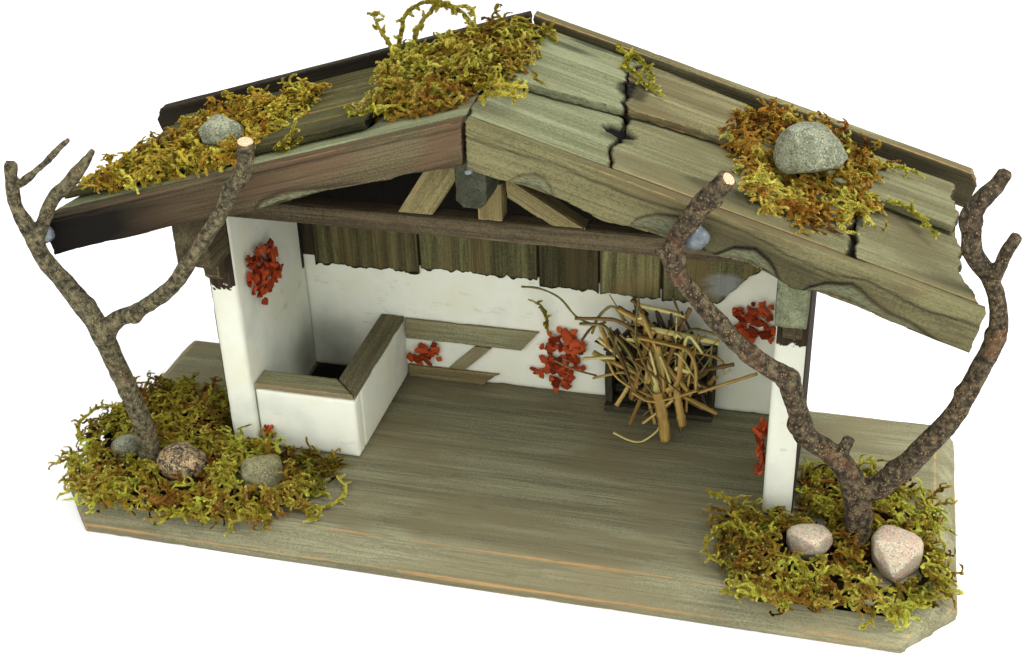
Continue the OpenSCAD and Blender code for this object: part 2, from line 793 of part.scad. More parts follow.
module above_base()
    translate([-far / 2, -far / 2, base_t])
        cube([far, far, far]);

module left_limbs(grow)
    translate(left_foot)
        for (shares = [left_limb_shares, left_inner_shares, left_twig_shares, left_right_limb_shares])
            limb(shares, left_tree_h, left_tree_r, grow);

module right_limbs(grow)
    translate(right_foot)
        for (shares = [
            right_left_limb_shares, right_limb_shares, right_outer_shares, right_stump_shares
        ])
            limb(shares, right_tree_h, right_tree_r, grow);

module left_trunk(grow)
    translate(left_foot)
        limb(left_trunk_shares, left_tree_h, left_tree_r, grow);

module right_trunk(grow)
    translate(right_foot)
        limb(right_trunk_shares, right_tree_h, right_tree_r, grow);

module tree_left()
    color("darkolivegreen")
    intersection() {
        union() {
            left_trunk(0);
            left_limbs(0);
        }
        above_base();
    }

module tree_right()
    color("darkolivegreen")
    intersection() {
        union() {
            right_trunk(0);
            right_limbs(0);
        }
        above_base();
    }

// Pebbles on the base: middle, from the twig's foot, and then length, depth and height, all
// as shares of the widest pebble's length
left_pebble_shares = [
    [-0.458, 0.147, 0.56, 0.47, 0.45], [0.632, -0.06, 0.82, 0.76, 0.55],
    [2, -0.03, 0.7, 0.59, 0.5]
];
right_pebble_shares = [[-0.63, -0.293, 0.68, 0.53, 0.5], [0.56, -0.323, 0.76, 0.76, 0.6]];

module ground_pebbles(table, foot, grow)
    for (s = table)
        translate(foot + [s[0], s[1], s[4] / 2] * pebble_l)
            scale([
                s[2] * pebble_l / 2 + grow,
                s[3] * pebble_l / 2 + grow,
                s[4] * pebble_l / 2 + grow
            ])
                sphere(r = 1, $fn = pebble_sides);

// Pebbles on the roof: distance from the ridge as a share of the run, place as a share of
// the field's depth, then sizes as above
roof_left_pebble_share = [0.581, 0.2, 0.76, 0.53, 0.42];
roof_right_pebble_share = [0.62, 0.385, 1, 0.84, 0.7];

module roof_pebble(side, run, s, rise, grow)
    on_side(side)
        translate([0, 0, ridge_z])
            rotate([0, roof_pitch, 0])
                translate([
                    s[0] * run / cos(roof_pitch),
                    field_y0 + s[1] * field_d,
                    rise + clear_gap + s[4] * pebble_l / 2
                ])
                    scale([
                        s[2] * pebble_l / 2 + grow,
                        s[3] * pebble_l / 2 + grow,
                        s[4] * pebble_l / 2 + grow
                    ])
                        sphere(r = 1, $fn = pebble_sides);

// Height of a lapped board's top over the flat boards, at a share of the field's depth
function lap_rise(share, rest_share, back_share) =
    roof_board_t * (back_share - share) / (back_share - rest_share);

module left_roof_pebble(grow)
    roof_pebble(
        -1, roof_run_left, roof_left_pebble_share,
        lap_rise(roof_left_pebble_share[1], left_2_rest_share, left_2_back_share), grow
    );

module right_roof_pebble(grow)
    roof_pebble(
        1, roof_run, roof_right_pebble_share,
        lap_rise(roof_right_pebble_share[1], right_56_rest_share, right_6_back_share), grow
    );

module pebbles_left()
    color("gray")
    ground_pebbles(left_pebble_shares, left_foot, 0);

module pebbles_right()
    color("rosybrown")
    ground_pebbles(right_pebble_shares, right_foot, 0);

module pebbles_roof()
    color("gray") {
        left_roof_pebble(0);
        right_roof_pebble(0);
    }

// Moss on the base: low mounds, each hulled over points that are shares of the base's half
// width and half depth, with a radius and a height as shares of the moss's height
left_front_moss_shares = [
    [-0.97, -0.68, 0.5, 0.1], [-0.9, -0.88, 0.5, 0.1], [-0.6, -0.93, 0.5, 0.1], [-0.4, -0.75, 0.5, 0.1],
    [-0.39, -0.36, 0.5, 0.1], [-0.62, -0.36, 0.6, 0.2], [-0.96, -0.3, 0.6, 0.3], [-0.75, -0.6, 0.6, 0.4]
];
left_side_moss_shares = [
    [-0.97, -0.34, 0.5, 0.1], [-0.69, -0.34, 0.5, 0.1], [-0.7, 0.12, 0.5, 0.1], [-0.88, 0.24, 0.5, 0.1],
    [-0.97, 0.05, 0.5, 0.1], [-0.82, -0.15, 0.6, 0.4]
];
right_front_moss_shares = [
    [0.54, -0.7, 0.5, 0.1], [0.6, -0.92, 0.5, 0.1], [0.86, -0.92, 0.5, 0.1], [0.94, -0.75, 0.5, 0.1],
    [0.94, -0.36, 0.5, 0.1], [0.51, -0.36, 0.5, 0.1], [0.7, -0.6, 0.6, 0.4]
];
right_side_moss_shares = [
    [0.94, -0.34, 0.5, 0.1], [0.69, -0.34, 0.5, 0.1], [0.7, 0.2, 0.5, 0.1], [0.82, 0.2, 0.5, 0.1],
    [0.91, 0.02, 0.5, 0.1], [0.82, -0.15, 0.6, 0.4]
];

module ground_mound(table)
    hull()
        for (s = table)
            translate([s[0] * half_w, s[1] * half_d, base_t + s[3] * ground_moss_h])
                sphere(r = s[2] * ground_moss_h, $fn = soft_sides);

module clear_of_walls()
    for (side = [-1, 1])
        on_side(side)
            translate([0, wall_front_y - clear_gap, 0])
                cube([wall_x1 + clear_gap, far, far]);

module moss_base_left()
    color("olive")
    difference() {
        intersection() {
            union() {
                ground_mound(left_front_moss_shares);
                ground_mound(left_side_moss_shares);
            }
            above_base();
        }
        ground_pebbles(left_pebble_shares, left_foot, clear_gap);
        left_trunk(clear_gap);
        clear_of_walls();
    }

module moss_base_right()
    color("olive")
    difference() {
        intersection() {
            union() {
                ground_mound(right_front_moss_shares);
                ground_mound(right_side_moss_shares);
            }
            above_base();
        }
        ground_pebbles(right_pebble_shares, right_foot, clear_gap);
        right_trunk(clear_gap);
        clear_of_walls();
    }

// Moss on the roof: distance from the ridge as a share of the run, place as a share of the
// field's depth, then the radius and the height as shares of the moss's height
roof_left_moss_shares = [
    [0.86, 0.06, 0.6, 0.2], [0.52, 0.05, 0.6, 0.2], [0.46, 0.42, 0.5, 0.1], [0.48, 0.72, 0.5, 0.1],
    [0.72, 0.72, 0.5, 0.1], [0.76, 0.36, 0.5, 0.1], [0.64, 0.4, 0.6, 0.4]
];
roof_right_front_moss_shares = [
    [0.56, 0.13, 0.4, 0.1], [0.68, 0.12, 0.4, 0.1], [0.76, 0.3, 0.4, 0.1], [0.76, 0.55, 0.5, 0.1],
    [0.5, 0.55, 0.5, 0.1], [0.52, 0.32, 0.4, 0.1], [0.64, 0.4, 0.5, 0.3]
];
roof_right_back_moss_shares = [
    [0.5, 0.45, 0.5, 0.2], [0.76, 0.45, 0.5, 0.2], [0.78, 0.72, 0.5, 0.1], [0.72, 0.88, 0.5, 0.1],
    [0.55, 0.88, 0.5, 0.1], [0.49, 0.7, 0.5, 0.1], [0.64, 0.64, 0.6, 0.5]
];
ridge_left_moss_shares = [
    [0.05, 0.12, 0.45, 0.1], [0.13, 0.12, 0.45, 0.1], [0.23, 0.25, 0.5, 0.1], [0.25, 0.5, 0.55, 0.2],
    [0.27, 0.8, 0.5, 0.1], [0.02, 0.86, 0.45, 0.3], [0.02, 0.5, 0.5, 0.5], [0.13, 0.5, 0.55, 0.5]
];
ridge_right_moss_shares = [
    [0.01, 0.2, 0.4, 0.2], [0.02, 0.25, 0.4, 0.1], [0.045, 0.45, 0.45, 0.2], [0.045, 0.62, 0.45, 0.2],
    [0.015, 0.84, 0.45, 0.2], [0, 0.5, 0.5, 0.5]
];

module roof_mound(side, run, table, height)
    on_side(side)
        hull()
            for (s = table)
                translate([s[0] * run, field_y0 + s[1] * field_d, roof_z(s[0] * run) + s[3] * height])
                    sphere(r = s[2] * height, $fn = soft_sides);

// The bulk of the roof that the moss lies on
module roof_bulk() {
    for (side = [-1, 1])
        on_side(side)
            upright(-far, 2 * far)
                slope_band(0, far / 2, -clear_gap, far);
    lapped_bulk(-1, roof_run_left, left_2_shares, left_2_rest_share, left_2_back_share);
    lapped_bulk(1, roof_run, right_4_shares, right_4_rest_share, right_4_back_share);
    lapped_bulk(1, roof_run, right_5_shares, right_56_rest_share, right_5_back_share);
    lapped_bulk(1, roof_run, right_6_shares, right_56_rest_share, right_6_back_share);
}

module lapped_bulk(side, run, shares, rest_share, back_share)
    on_side(side)
        intersection() {
            linear_extrude(height = far)
                polygon(board_plan(run, shares));
            lapped_slab(run, rest_share, back_share, clear_gap, far);
        }

module behind_fascia()
    translate([-far / 2, roof_front_y, 0])
        cube([far, back_wall_y - clear_gap - roof_front_y, far]);

module moss_roof_left()
    color("olive")
    difference() {
        intersection() {
            roof_mound(-1, roof_run_left, roof_left_moss_shares, roof_moss_h);
            behind_fascia();
        }
        roof_bulk();
        left_roof_pebble(clear_gap);
    }

module moss_roof_right()
    color("olive")
    difference() {
        intersection() {
            union() {
                roof_mound(1, roof_run, roof_right_front_moss_shares, roof_moss_h);
                roof_mound(1, roof_run, roof_right_back_moss_shares, roof_moss_h);
            }
            behind_fascia();
        }
        roof_bulk();
        right_roof_pebble(clear_gap);
    }

module moss_ridge()
    color("olive")
    difference() {
        intersection() {
            union() {
                roof_mound(-1, roof_run_left, ridge_left_moss_shares, ridge_moss_h);
                roof_mound(1, roof_run, ridge_right_moss_shares, ridge_moss_h);
            }
            behind_fascia();
        }
        roof_bulk();
    }

// Beads of glue: distance from the ridge and height as shares of the roof's, the place in
// front of the roof and the radius as shares of the front boards' thickness
left_bead_share = [-0.975, 0.69, 0.5, 0.75];
right_bead_share = [0.455, 0.815, 0.5, 0.85];
ridge_bead_share = [0.01, 0.9, 0, 0.45];

module glue_beads()
    color("lightsteelblue")
    difference() {
        for (s = [left_bead_share, right_bead_share, ridge_bead_share])
            translate([
                s[0] * (s[0] < 0 ? roof_run_left : roof_run),
                roof_front_y - s[2] * fascia_t,
                s[1] * ridge_z
            ])
                sphere(r = s[3] * fascia_t, $fn = soft_sides);
        translate([-far / 2, roof_front_y, 0])
            cube([far, far, far]);
        left_limbs(clear_gap);
        right_limbs(clear_gap);
    }

base_board();
side_wall(-1);  // left_wall
side_wall(1);  // right_wall
back_wall();
back_plank(0);  // back_plank_1
back_plank(1);  // back_plank_2
back_plank(2);  // back_plank_3
back_plank(3);  // back_plank_4
back_plank(4);  // back_plank_5
tie_beam();
king_post();
strut(-1, left_strut_x, left_strut_w, left_strut_angle);  // strut_left
strut(1, right_strut_x, right_strut_w, right_strut_angle);  // strut_right
ridge_purlin();
corbel_upper(-1);  // corbel_upper_left
corbel_upper(1);  // corbel_upper_right
corbel_lower(-1);  // corbel_lower_left
corbel_lower(1);  // corbel_lower_right
roof_deck(-1);  // roof_deck_left
roof_deck(1);  // roof_deck_right
fascia(-1, roof_run_left, left_edge_shares);  // front_fascia_left
fascia(1, roof_run, right_edge_shares);  // front_fascia_right
back_rim(-1, roof_run_left);  // back_rim_left
back_rim(1, roof_run);  // back_rim_right
flat_board(-1, roof_run_left, left_1_shares);  // roof_board_left_1
roof_board_left_2();
flat_board(-1, roof_run_left, left_3_shares);  // roof_board_left_3
flat_board(-1, roof_run_left, left_4_shares);  // roof_board_left_4
flat_board(1, roof_run, right_1_shares);  // roof_board_right_1
flat_board(1, roof_run, right_2_shares);  // roof_board_right_2
flat_board(1, roof_run, right_3_shares);  // roof_board_right_3
lapped_board(1, roof_run, right_4_shares, right_4_rest_share, right_4_back_share);  // roof_board_right_4
lapped_board(1, roof_run, right_5_shares, right_56_rest_share, right_5_back_share);  // roof_board_right_5
lapped_board(1, roof_run, right_6_shares, right_56_rest_share, right_6_back_share);  // roof_board_right_6
pen_front();
pen_side();
pen_cap_front();
pen_cap_side();
strip_upper();
strip_lower();
strip_slanted();
chips_left_wall();
chips_back_wall();
chips_right_wall();
rack_board();
rack_ends();
rack_slats();
straw();
tree_left();
tree_right();
moss_base_left();
moss_base_right();
moss_roof_left();
moss_ridge();
moss_roof_right();
pebbles_left();
pebbles_right();
pebbles_roof();
glue_beads();
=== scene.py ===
"""Looks of a wooden nativity stable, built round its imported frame.

Lengths are millimetres in the frame's own axes, and become metres when a mesh is made.
"""

import math

import bmesh
import bpy
import numpy as np
from mathutils import Matrix, Vector
from mathutils.kdtree import KDTree

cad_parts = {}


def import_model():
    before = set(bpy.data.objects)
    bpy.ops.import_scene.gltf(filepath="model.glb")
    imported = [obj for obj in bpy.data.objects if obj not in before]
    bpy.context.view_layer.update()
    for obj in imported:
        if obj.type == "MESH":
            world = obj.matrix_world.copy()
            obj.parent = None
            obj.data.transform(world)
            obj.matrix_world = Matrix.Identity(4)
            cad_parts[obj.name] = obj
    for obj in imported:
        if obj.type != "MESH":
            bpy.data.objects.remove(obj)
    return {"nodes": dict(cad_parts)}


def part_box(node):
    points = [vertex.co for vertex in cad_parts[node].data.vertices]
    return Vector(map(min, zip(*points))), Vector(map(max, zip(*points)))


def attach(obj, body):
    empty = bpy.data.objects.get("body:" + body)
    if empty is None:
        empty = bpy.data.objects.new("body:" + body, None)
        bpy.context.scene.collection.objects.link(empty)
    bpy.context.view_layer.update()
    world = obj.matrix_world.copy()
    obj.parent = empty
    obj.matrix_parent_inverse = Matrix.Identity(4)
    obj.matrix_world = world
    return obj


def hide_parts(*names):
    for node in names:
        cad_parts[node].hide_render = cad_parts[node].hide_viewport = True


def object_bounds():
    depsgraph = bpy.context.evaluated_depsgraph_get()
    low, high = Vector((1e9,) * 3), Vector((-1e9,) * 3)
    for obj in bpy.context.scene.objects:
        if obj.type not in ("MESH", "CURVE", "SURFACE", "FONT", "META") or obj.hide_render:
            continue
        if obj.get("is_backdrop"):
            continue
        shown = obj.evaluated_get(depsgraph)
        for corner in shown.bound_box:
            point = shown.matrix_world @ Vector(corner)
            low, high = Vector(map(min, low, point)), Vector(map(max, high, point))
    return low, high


MM = 0.001
MERGE = 1e-6
BODY = "root"

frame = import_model()
cad_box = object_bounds()
nodes = frame["nodes"]


# Repeatable chance and noise
def seed_of(name):
    """A number that belongs to a name."""
    return sum((i + 1) * ord(letter) for i, letter in enumerate(name))


def chance(name):
    """A random generator that gives a name the same values on each run."""
    return np.random.default_rng(seed_of(name))


def lattice(ix, iy, iz, seed):
    """A repeatable value from 0 to 1 for each whole-number point."""
    h = (ix * 73856093) ^ (iy * 19349663) ^ (iz * 83492791) ^ (seed * 40503)
    h = h & 0xFFFFFFFF
    h = ((h ^ (h >> 13)) * 1274126177) & 0xFFFFFFFF
    return ((h ^ (h >> 16)) & 0xFFFF) / 0xFFFF


def soft_noise(points, seed=0):
    """Smooth noise from -1 to 1 with a feature about one unit long."""
    low = np.floor(points).astype(np.int64)
    part = points - low
    part = part * part * (3 - 2 * part)
    total = np.zeros(len(points))
    for dx in (0, 1):
        for dy in (0, 1):
            for dz in (0, 1):
                share = np.where(dx, part[:, 0], 1 - part[:, 0])
                share = share * np.where(dy, part[:, 1], 1 - part[:, 1])
                share = share * np.where(dz, part[:, 2], 1 - part[:, 2])
                total += share * lattice(low[:, 0] + dx, low[:, 1] + dy, low[:, 2] + dz, seed)
    return 2 * total - 1


def rough_noise(points, seed=0, octaves=3):
    """Noise with finer and finer detail, from about -1 to 1."""
    total = np.zeros(len(points))
    for octave in range(octaves):
        total += soft_noise(points * 2**octave, seed + octave) / 2**octave
    return total / (2 - 2 ** (1 - octaves))


def ease(values, low, high):
    """0 below low, 1 above high and smooth between them."""
    t = np.clip((values - low) / (high - low), 0, 1)
    return t * t * (3 - 2 * t)


def unit(vectors):
    """The same directions with length 1."""
    length = np.linalg.norm(vectors, axis=-1, keepdims=True)
    return vectors / np.maximum(length, 1e-9)


# Meshes
def new_mesh(name, points, faces):
    """A mesh from points in mm and faces that all have the same number of corners."""
    mesh = bpy.data.meshes.new(name)
    faces = np.asarray(faces, np.int32)
    mesh.vertices.add(len(points))
    mesh.vertices.foreach_set("co", (np.asarray(points) * MM).astype(np.float32).ravel())
    mesh.loops.add(faces.size)
    mesh.loops.foreach_set("vertex_index", faces.ravel())
    mesh.polygons.add(len(faces))
    mesh.polygons.foreach_set("loop_start", np.arange(0, faces.size, faces.shape[1], dtype=np.int32))
    mesh.update(calc_edges=True)
    return mesh


def store(mesh, name, values):
    """Keeps one number or one vector for each point."""
    values = np.asarray(values, np.float32)
    if values.ndim == 1:
        mesh.attributes.new(name, "FLOAT", "POINT").data.foreach_set("value", values)
    else:
        mesh.attributes.new(name, "FLOAT_VECTOR", "POINT").data.foreach_set("vector", values.ravel())


def link(name, mesh):
    """Puts an object in the scene."""
    obj = bpy.data.objects.new(name, mesh)
    bpy.context.scene.collection.objects.link(obj)
    return obj


def piece(name, mesh, material, slot, replaced, smooth=True):
    """Puts a finished mesh in the scene in place of its CAD nodes."""
    obj = link(name, mesh)
    mesh.polygons.foreach_set("use_smooth", np.full(len(mesh.polygons), smooth))
    mesh.materials.append(material)
    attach(obj, BODY)
    if replaced:
        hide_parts(*replaced)


def read_points(mesh):
    """A mesh's points in mm."""
    co = np.zeros(len(mesh.vertices) * 3, np.float32)
    mesh.vertices.foreach_get("co", co)
    return co.reshape(-1, 3).astype(float) / MM


def read_normals(mesh):
    """The normals at a mesh's points."""
    normals = np.zeros(len(mesh.vertices) * 3, np.float32)
    mesh.vertex_normals.foreach_get("vector", normals)
    return normals.reshape(-1, 3).astype(float)


def write_points(mesh, points):
    """Moves a mesh's points to these places in mm."""
    mesh.vertices.foreach_set("co", (points * MM).astype(np.float32).ravel())
    mesh.update()


def evaluated(obj):
    """The mesh that an object's modifiers make; the object is removed."""
    graph = bpy.context.evaluated_depsgraph_get()
    mesh = bpy.data.meshes.new_from_object(obj.evaluated_get(graph))
    bpy.data.objects.remove(obj)
    return mesh


def even_skin(mesh, voxel, smooth=0):
    """One closed skin of even faces over a mesh, with voxel in mm."""
    obj = link("skin", mesh)
    remesh = obj.modifiers.new("Remesh", "REMESH")
    remesh.mode = "VOXEL"
    remesh.voxel_size = voxel * MM
    remesh.use_smooth_shade = True
    if smooth:
        relax = obj.modifiers.new("Smooth", "SMOOTH")
        relax.factor = 0.5
        relax.iterations = smooth
    return evaluated(obj)


def solid_copy(node):
    """A CAD node as a bmesh with its doubled points merged."""
    bm = bmesh.new()
    bm.from_mesh(nodes[node].data)
    bmesh.ops.remove_doubles(bm, verts=bm.verts, dist=MERGE)
    return bm


def islands(node):
    """The points in mm of each separate solid of a CAD node."""
    bm = solid_copy(node)
    bm.verts.ensure_lookup_table()
    seen, found = set(), []
    for start in bm.verts:
        if start.index in seen:
            continue
        stack, group = [start], []
        seen.add(start.index)
        while stack:
            vert = stack.pop()
            group.append(tuple(c / MM for c in vert.co))
            for edge in vert.link_edges:
                other = edge.other_vert(vert)
                if other.index not in seen:
                    seen.add(other.index)
                    stack.append(other)
        found.append(np.array(group))
    bm.free()
    return found


def span(node):
    """Lowest and highest corner of a CAD node, in mm."""
    low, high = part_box(node)
    return np.array(low) / MM, np.array(high) / MM


def middle_and_half(points):
    """The middle and the half sizes of the box round some points."""
    low, high = points.min(0), points.max(0)
    return (low + high) / 2, (high - low) / 2


def by_place(node):
    """The separate solids of a CAD node from left to right."""
    return sorted(islands(node), key=lambda points: points[:, 0].mean())


# Measures that several pieces share; the roof's pitch is in degrees
PITCH = 17.2
LEAN = {"left": -PITCH, "right": PITCH}
ROOF_SLOPE = math.tan(math.radians(PITCH))
RIDGE_TOP = 242
BASE_TOP = span("base_board")[1][2]
WALL_FACE = span("back_wall")[0][1]


# Materials
def srgb(red, green, blue):
    """A colour as a picture shows it, 0 to 255, as the shader's own values."""
    values = [c / 255 for c in (red, green, blue)]
    return [c / 12.92 if c <= 0.04045 else ((c + 0.055) / 1.055) ** 2.4 for c in values] + [1]


class Shade:
    """Short names for the nodes of one material."""

    def __init__(self, name, roughness=0.8, shine=0.12):
        self.material = bpy.data.materials.new(name)
        self.material.use_nodes = True
        self.tree = self.material.node_tree
        self.shader = self.tree.nodes["Principled BSDF"]
        self.shader.inputs["Roughness"].default_value = roughness
        self.shader.inputs["Specular IOR Level"].default_value = shine

    def node(self, kind, **settings):
        made = self.tree.nodes.new(kind)
        for key, value in settings.items():
            setattr(made, key, value)
        return made

    def put(self, value, socket):
        """Links an output, or sets a plain value."""
        if isinstance(value, bpy.types.NodeSocket):
            self.tree.links.new(value, socket)
        else:
            socket.default_value = value

    def attribute(self, name, output="Fac"):
        return self.node("ShaderNodeAttribute", attribute_name=name).outputs[output]

    def place(self):
        """The surface's place in mm."""
        coordinates = self.node("ShaderNodeTexCoord").outputs["Object"]
        return self.stretch(coordinates, 1 / MM, 1 / MM, 1 / MM)

    def stretch(self, vector, x, y, z):
        scaled = self.node("ShaderNodeVectorMath", operation="MULTIPLY")
        self.put(vector, scaled.inputs[0])
        self.put((x, y, z), scaled.inputs[1])
        return scaled.outputs[0]

    def parts(self, vector):
        split = self.node("ShaderNodeSeparateXYZ")
        self.put(vector, split.inputs[0])
        return split.outputs

    def noise(self, vector, scale=1.0, detail=4.0, roughness=0.55, distortion=0.0):
        made = self.node("ShaderNodeTexNoise")
        self.put(vector, made.inputs["Vector"])
        self.put(scale, made.inputs["Scale"])
        self.put(detail, made.inputs["Detail"])
        self.put(roughness, made.inputs["Roughness"])
        self.put(distortion, made.inputs["Distortion"])
        return made.outputs["Fac"]

    def cells(self, vector, scale, output="Distance"):
        made = self.node("ShaderNodeTexVoronoi")
        self.put(vector, made.inputs["Vector"])
        self.put(scale, made.inputs["Scale"])
        return made.outputs[output]

    def math(self, operation, first, second=0.0):
        made = self.node("ShaderNodeMath", operation=operation)
        self.put(first, made.inputs[0])
        self.put(second, made.inputs[1])
        return made.outputs[0]

    def plus(self, first, second):
        return self.math("ADD", first, second)

    def minus(self, first, second):
        return self.math("SUBTRACT", first, second)

    def times(self, first, second):
        return self.math("MULTIPLY", first, second)

    def step(self, value, low, high):
        """0 below low, 1 above high and smooth between them."""
        made = self.node("ShaderNodeMapRange", interpolation_type="SMOOTHSTEP")
        self.put(value, made.inputs["Value"])
        self.put(low, made.inputs["From Min"])
        self.put(high, made.inputs["From Max"])
        return made.outputs["Result"]

    def ramp(self, value, stops):
        """Colours along a value; each stop is a place and a colour."""
        made = self.node("ShaderNodeValToRGB")
        self.put(value, made.inputs["Fac"])
        elements = made.color_ramp.elements
        while len(elements) < len(stops):
            elements.new(0.5)
        for element, (place, colour) in zip(elements, stops):
            element.position = place
            element.color = colour
        return made.outputs["Color"]

    def mix(self, share, first, second):
        made = self.node("ShaderNodeMix", data_type="RGBA")
        self.put(share, made.inputs["Factor"])
        self.put(first, made.inputs[6])
        self.put(second, made.inputs[7])
        return made.outputs[2]

    def finish(self, colour, height, depth, strength):
        """Links the colour, and the height as a bump of that depth in mm."""
        self.put(colour, self.shader.inputs["Base Color"])
        bump = self.node("ShaderNodeBump")
        self.put(strength, bump.inputs["Strength"])
        self.put(depth * MM, bump.inputs["Distance"])
        self.put(height, bump.inputs["Height"])
        self.put(bump.outputs["Normal"], self.shader.inputs["Normal"])
        return self.material


# Near black for real stains and burnt edges, and also for painted shade in corners, gaps and the attic
DARK_STAIN_AND_SHADE = srgb(19, 16, 12)
PORE = srgb(60, 50, 36)
DRY_GLUE = srgb(148, 152, 150)
SCRAPED_DARK = srgb(84, 84, 62)
SCRAPED_LIGHT = srgb(122, 126, 98)


def wood(name, *tones, bands=0.11, worn_from=0.35, pores=0.35):
    """Old stained wood: dark, middle and light tones, worn edges and a tint in broad patches.

    The grain runs along the first part of the grain attribute.
    """
    m = Shade(name, 0.85)
    dark, middle, light, worn, tint = (srgb(*tone) for tone in tones)
    grain = m.attribute("grain", "Vector")
    broad = m.noise(m.stretch(grain, 0.012, 0.03, 0.03), detail=3, distortion=0.6)
    band = m.noise(m.stretch(grain, 0.006, bands, bands), detail=2, distortion=0.3)
    line = m.noise(m.stretch(grain, 0.016, 0.8, 0.8), detail=5, roughness=0.7)
    fibre = m.noise(m.stretch(grain, 0.12, 3.0, 3.0), detail=2)
    grit = m.noise(m.stretch(grain, 0.85, 1.15, 1.15), detail=3, roughness=0.8)
    blend = m.plus(m.times(band, 0.32), m.times(line, 0.3))
    blend = m.plus(blend, m.times(grit, 0.38))
    colour = m.ramp(blend, [(0.42, dark), (0.5, middle), (0.58, light)])
    colour = m.mix(m.times(m.step(broad, 0.44, 0.66), 0.8), colour, tint)
    colour = m.mix(m.times(m.step(fibre, 0.55, 0.8), 0.3), colour, dark)
    vein = m.noise(m.stretch(grain, 0.007, 0.17, 0.17), detail=2, distortion=0.2)
    vein = m.step(m.math("ABSOLUTE", m.minus(vein, 0.5)), 0.024, 0.004)
    colour = m.mix(m.times(vein, 0.5), colour, dark)
    colour = m.mix(m.times(m.step(grit, 0.6, 0.74), pores), colour, PORE)
    hatch = m.noise(m.stretch(grain, 0.35, 1.5, 1.5), detail=3)
    scraped = m.ramp(hatch, [(0.38, SCRAPED_DARK), (0.62, SCRAPED_LIGHT)])
    colour = m.mix(m.times(m.attribute("scrape"), 0.85), colour, scraped)
    edge = m.plus(m.attribute("wear"), m.times(broad, 0.9))
    edge = m.plus(edge, m.times(line, 0.8))
    raw = m.step(edge, worn_from + 1.15, worn_from + 1.5)
    colour = m.mix(m.times(raw, 0.8), colour, worn)
    # This attribute holds both real stains and painted shade
    colour = m.mix(m.attribute("stain_and_shade"), colour, DARK_STAIN_AND_SHADE)
    colour = m.mix(m.attribute("smear"), colour, DRY_GLUE)
    height = m.plus(m.times(line, 0.9), m.times(fibre, 0.5))
    height = m.minus(m.plus(height, band), m.times(grit, 0.6))
    height = m.minus(height, m.times(vein, 0.4))
    return m.finish(colour, height, depth=0.4, strength=0.7)


def plaster():
    """Off-white wall paint with smudges, dark above a height that each point holds: real stain, and painted
    shade beside the planks and behind the hay rack; painted shade in the pen as well.
    """
    m = Shade("plaster_paint", 0.88)
    place = m.place()
    cloud = m.noise(place, 0.03, 4)
    smudge = m.noise(m.stretch(place, 0.05, 0.05, 0.12), 1, 5, 0.7)
    grit = m.noise(place, 0.9, 4, 0.7)
    paint_tones = [(0.3, srgb(212, 217, 200)), (0.5, srgb(229, 231, 213)), (0.7, srgb(224, 224, 198))]
    colour = m.ramp(cloud, paint_tones)
    colour = m.mix(m.times(m.step(smudge, 0.6, 0.72), 0.45), colour, srgb(168, 172, 160))
    colour = m.mix(m.times(m.step(grit, 0.68, 0.76), 0.5), colour, srgb(150, 146, 128))
    colour = m.mix(m.times(m.attribute("wear"), 0.3), colour, srgb(190, 186, 166))
    ragged = m.times(m.minus(m.noise(place, 0.3, 4), 0.5), 14)
    level = m.minus(m.plus(m.parts(place)[2], ragged), m.attribute("stain_and_shade_from"))
    # Painted shade in the pen's corner and on the pen's inner sides
    colour = m.mix(m.attribute("painted_shade"), colour, srgb(66, 62, 50))
    streaks = m.noise(m.stretch(place, 0.4, 0.4, 0.03), 1, 5)
    stain_and_shade_colour = m.ramp(streaks, [(0.3, srgb(24, 20, 15)), (0.7, srgb(70, 59, 44))])
    # Dark above the level: real stain, and painted shade beside the planks and behind the rack
    colour = m.mix(m.step(level, -0.6, 0.6), colour, stain_and_shade_colour)
    return m.finish(colour, m.plus(grit, cloud), depth=0.3, strength=0.5)


def terracotta():
    """Broken brick; each chip has its own tone from dark and fired to pale orange."""
    m = Shade("terracotta_chip", 0.85)
    place = m.place()
    grit = m.noise(place, 1.3, 4, 0.7)
    tone = m.plus(m.attribute("tone"), m.times(m.minus(grit, 0.5), 0.6))
    colour = m.ramp(tone, [(0.1, srgb(100, 34, 15)), (0.5, srgb(154, 60, 28)), (0.9, srgb(186, 84, 44))])
    colour = m.mix(m.times(m.step(grit, 0.55, 0.72), 0.35), colour, srgb(88, 32, 17))
    return m.finish(colour, grit, depth=0.35, strength=0.7)


def stone(name, *tones, patches=0.11):
    """A speckled pebble: two body colours with dark and pale grains."""
    m = Shade(name, 0.6, shine=0.3)
    base, second, speck, pale = (srgb(*tone) for tone in tones)
    place = m.place()
    patch = m.noise(place, patches, 5, distortion=0.5)
    grains = m.cells(place, 1.5, output="Color")
    dark = m.parts(grains)[0]
    light = m.parts(grains)[1]
    fine = m.noise(place, 1.6, 4, 0.7)
    colour = m.mix(m.step(patch, 0.38, 0.62), base, second)
    colour = m.mix(m.times(m.step(dark, 0.72, 0.8), 0.7), colour, speck)
    colour = m.mix(m.times(m.step(light, 0.82, 0.9), 0.6), colour, pale)
    colour = m.mix(m.times(m.step(fine, 0.56, 0.7), 0.45), colour, speck)
    return m.finish(colour, m.plus(fine, patch), depth=0.3, strength=0.5)


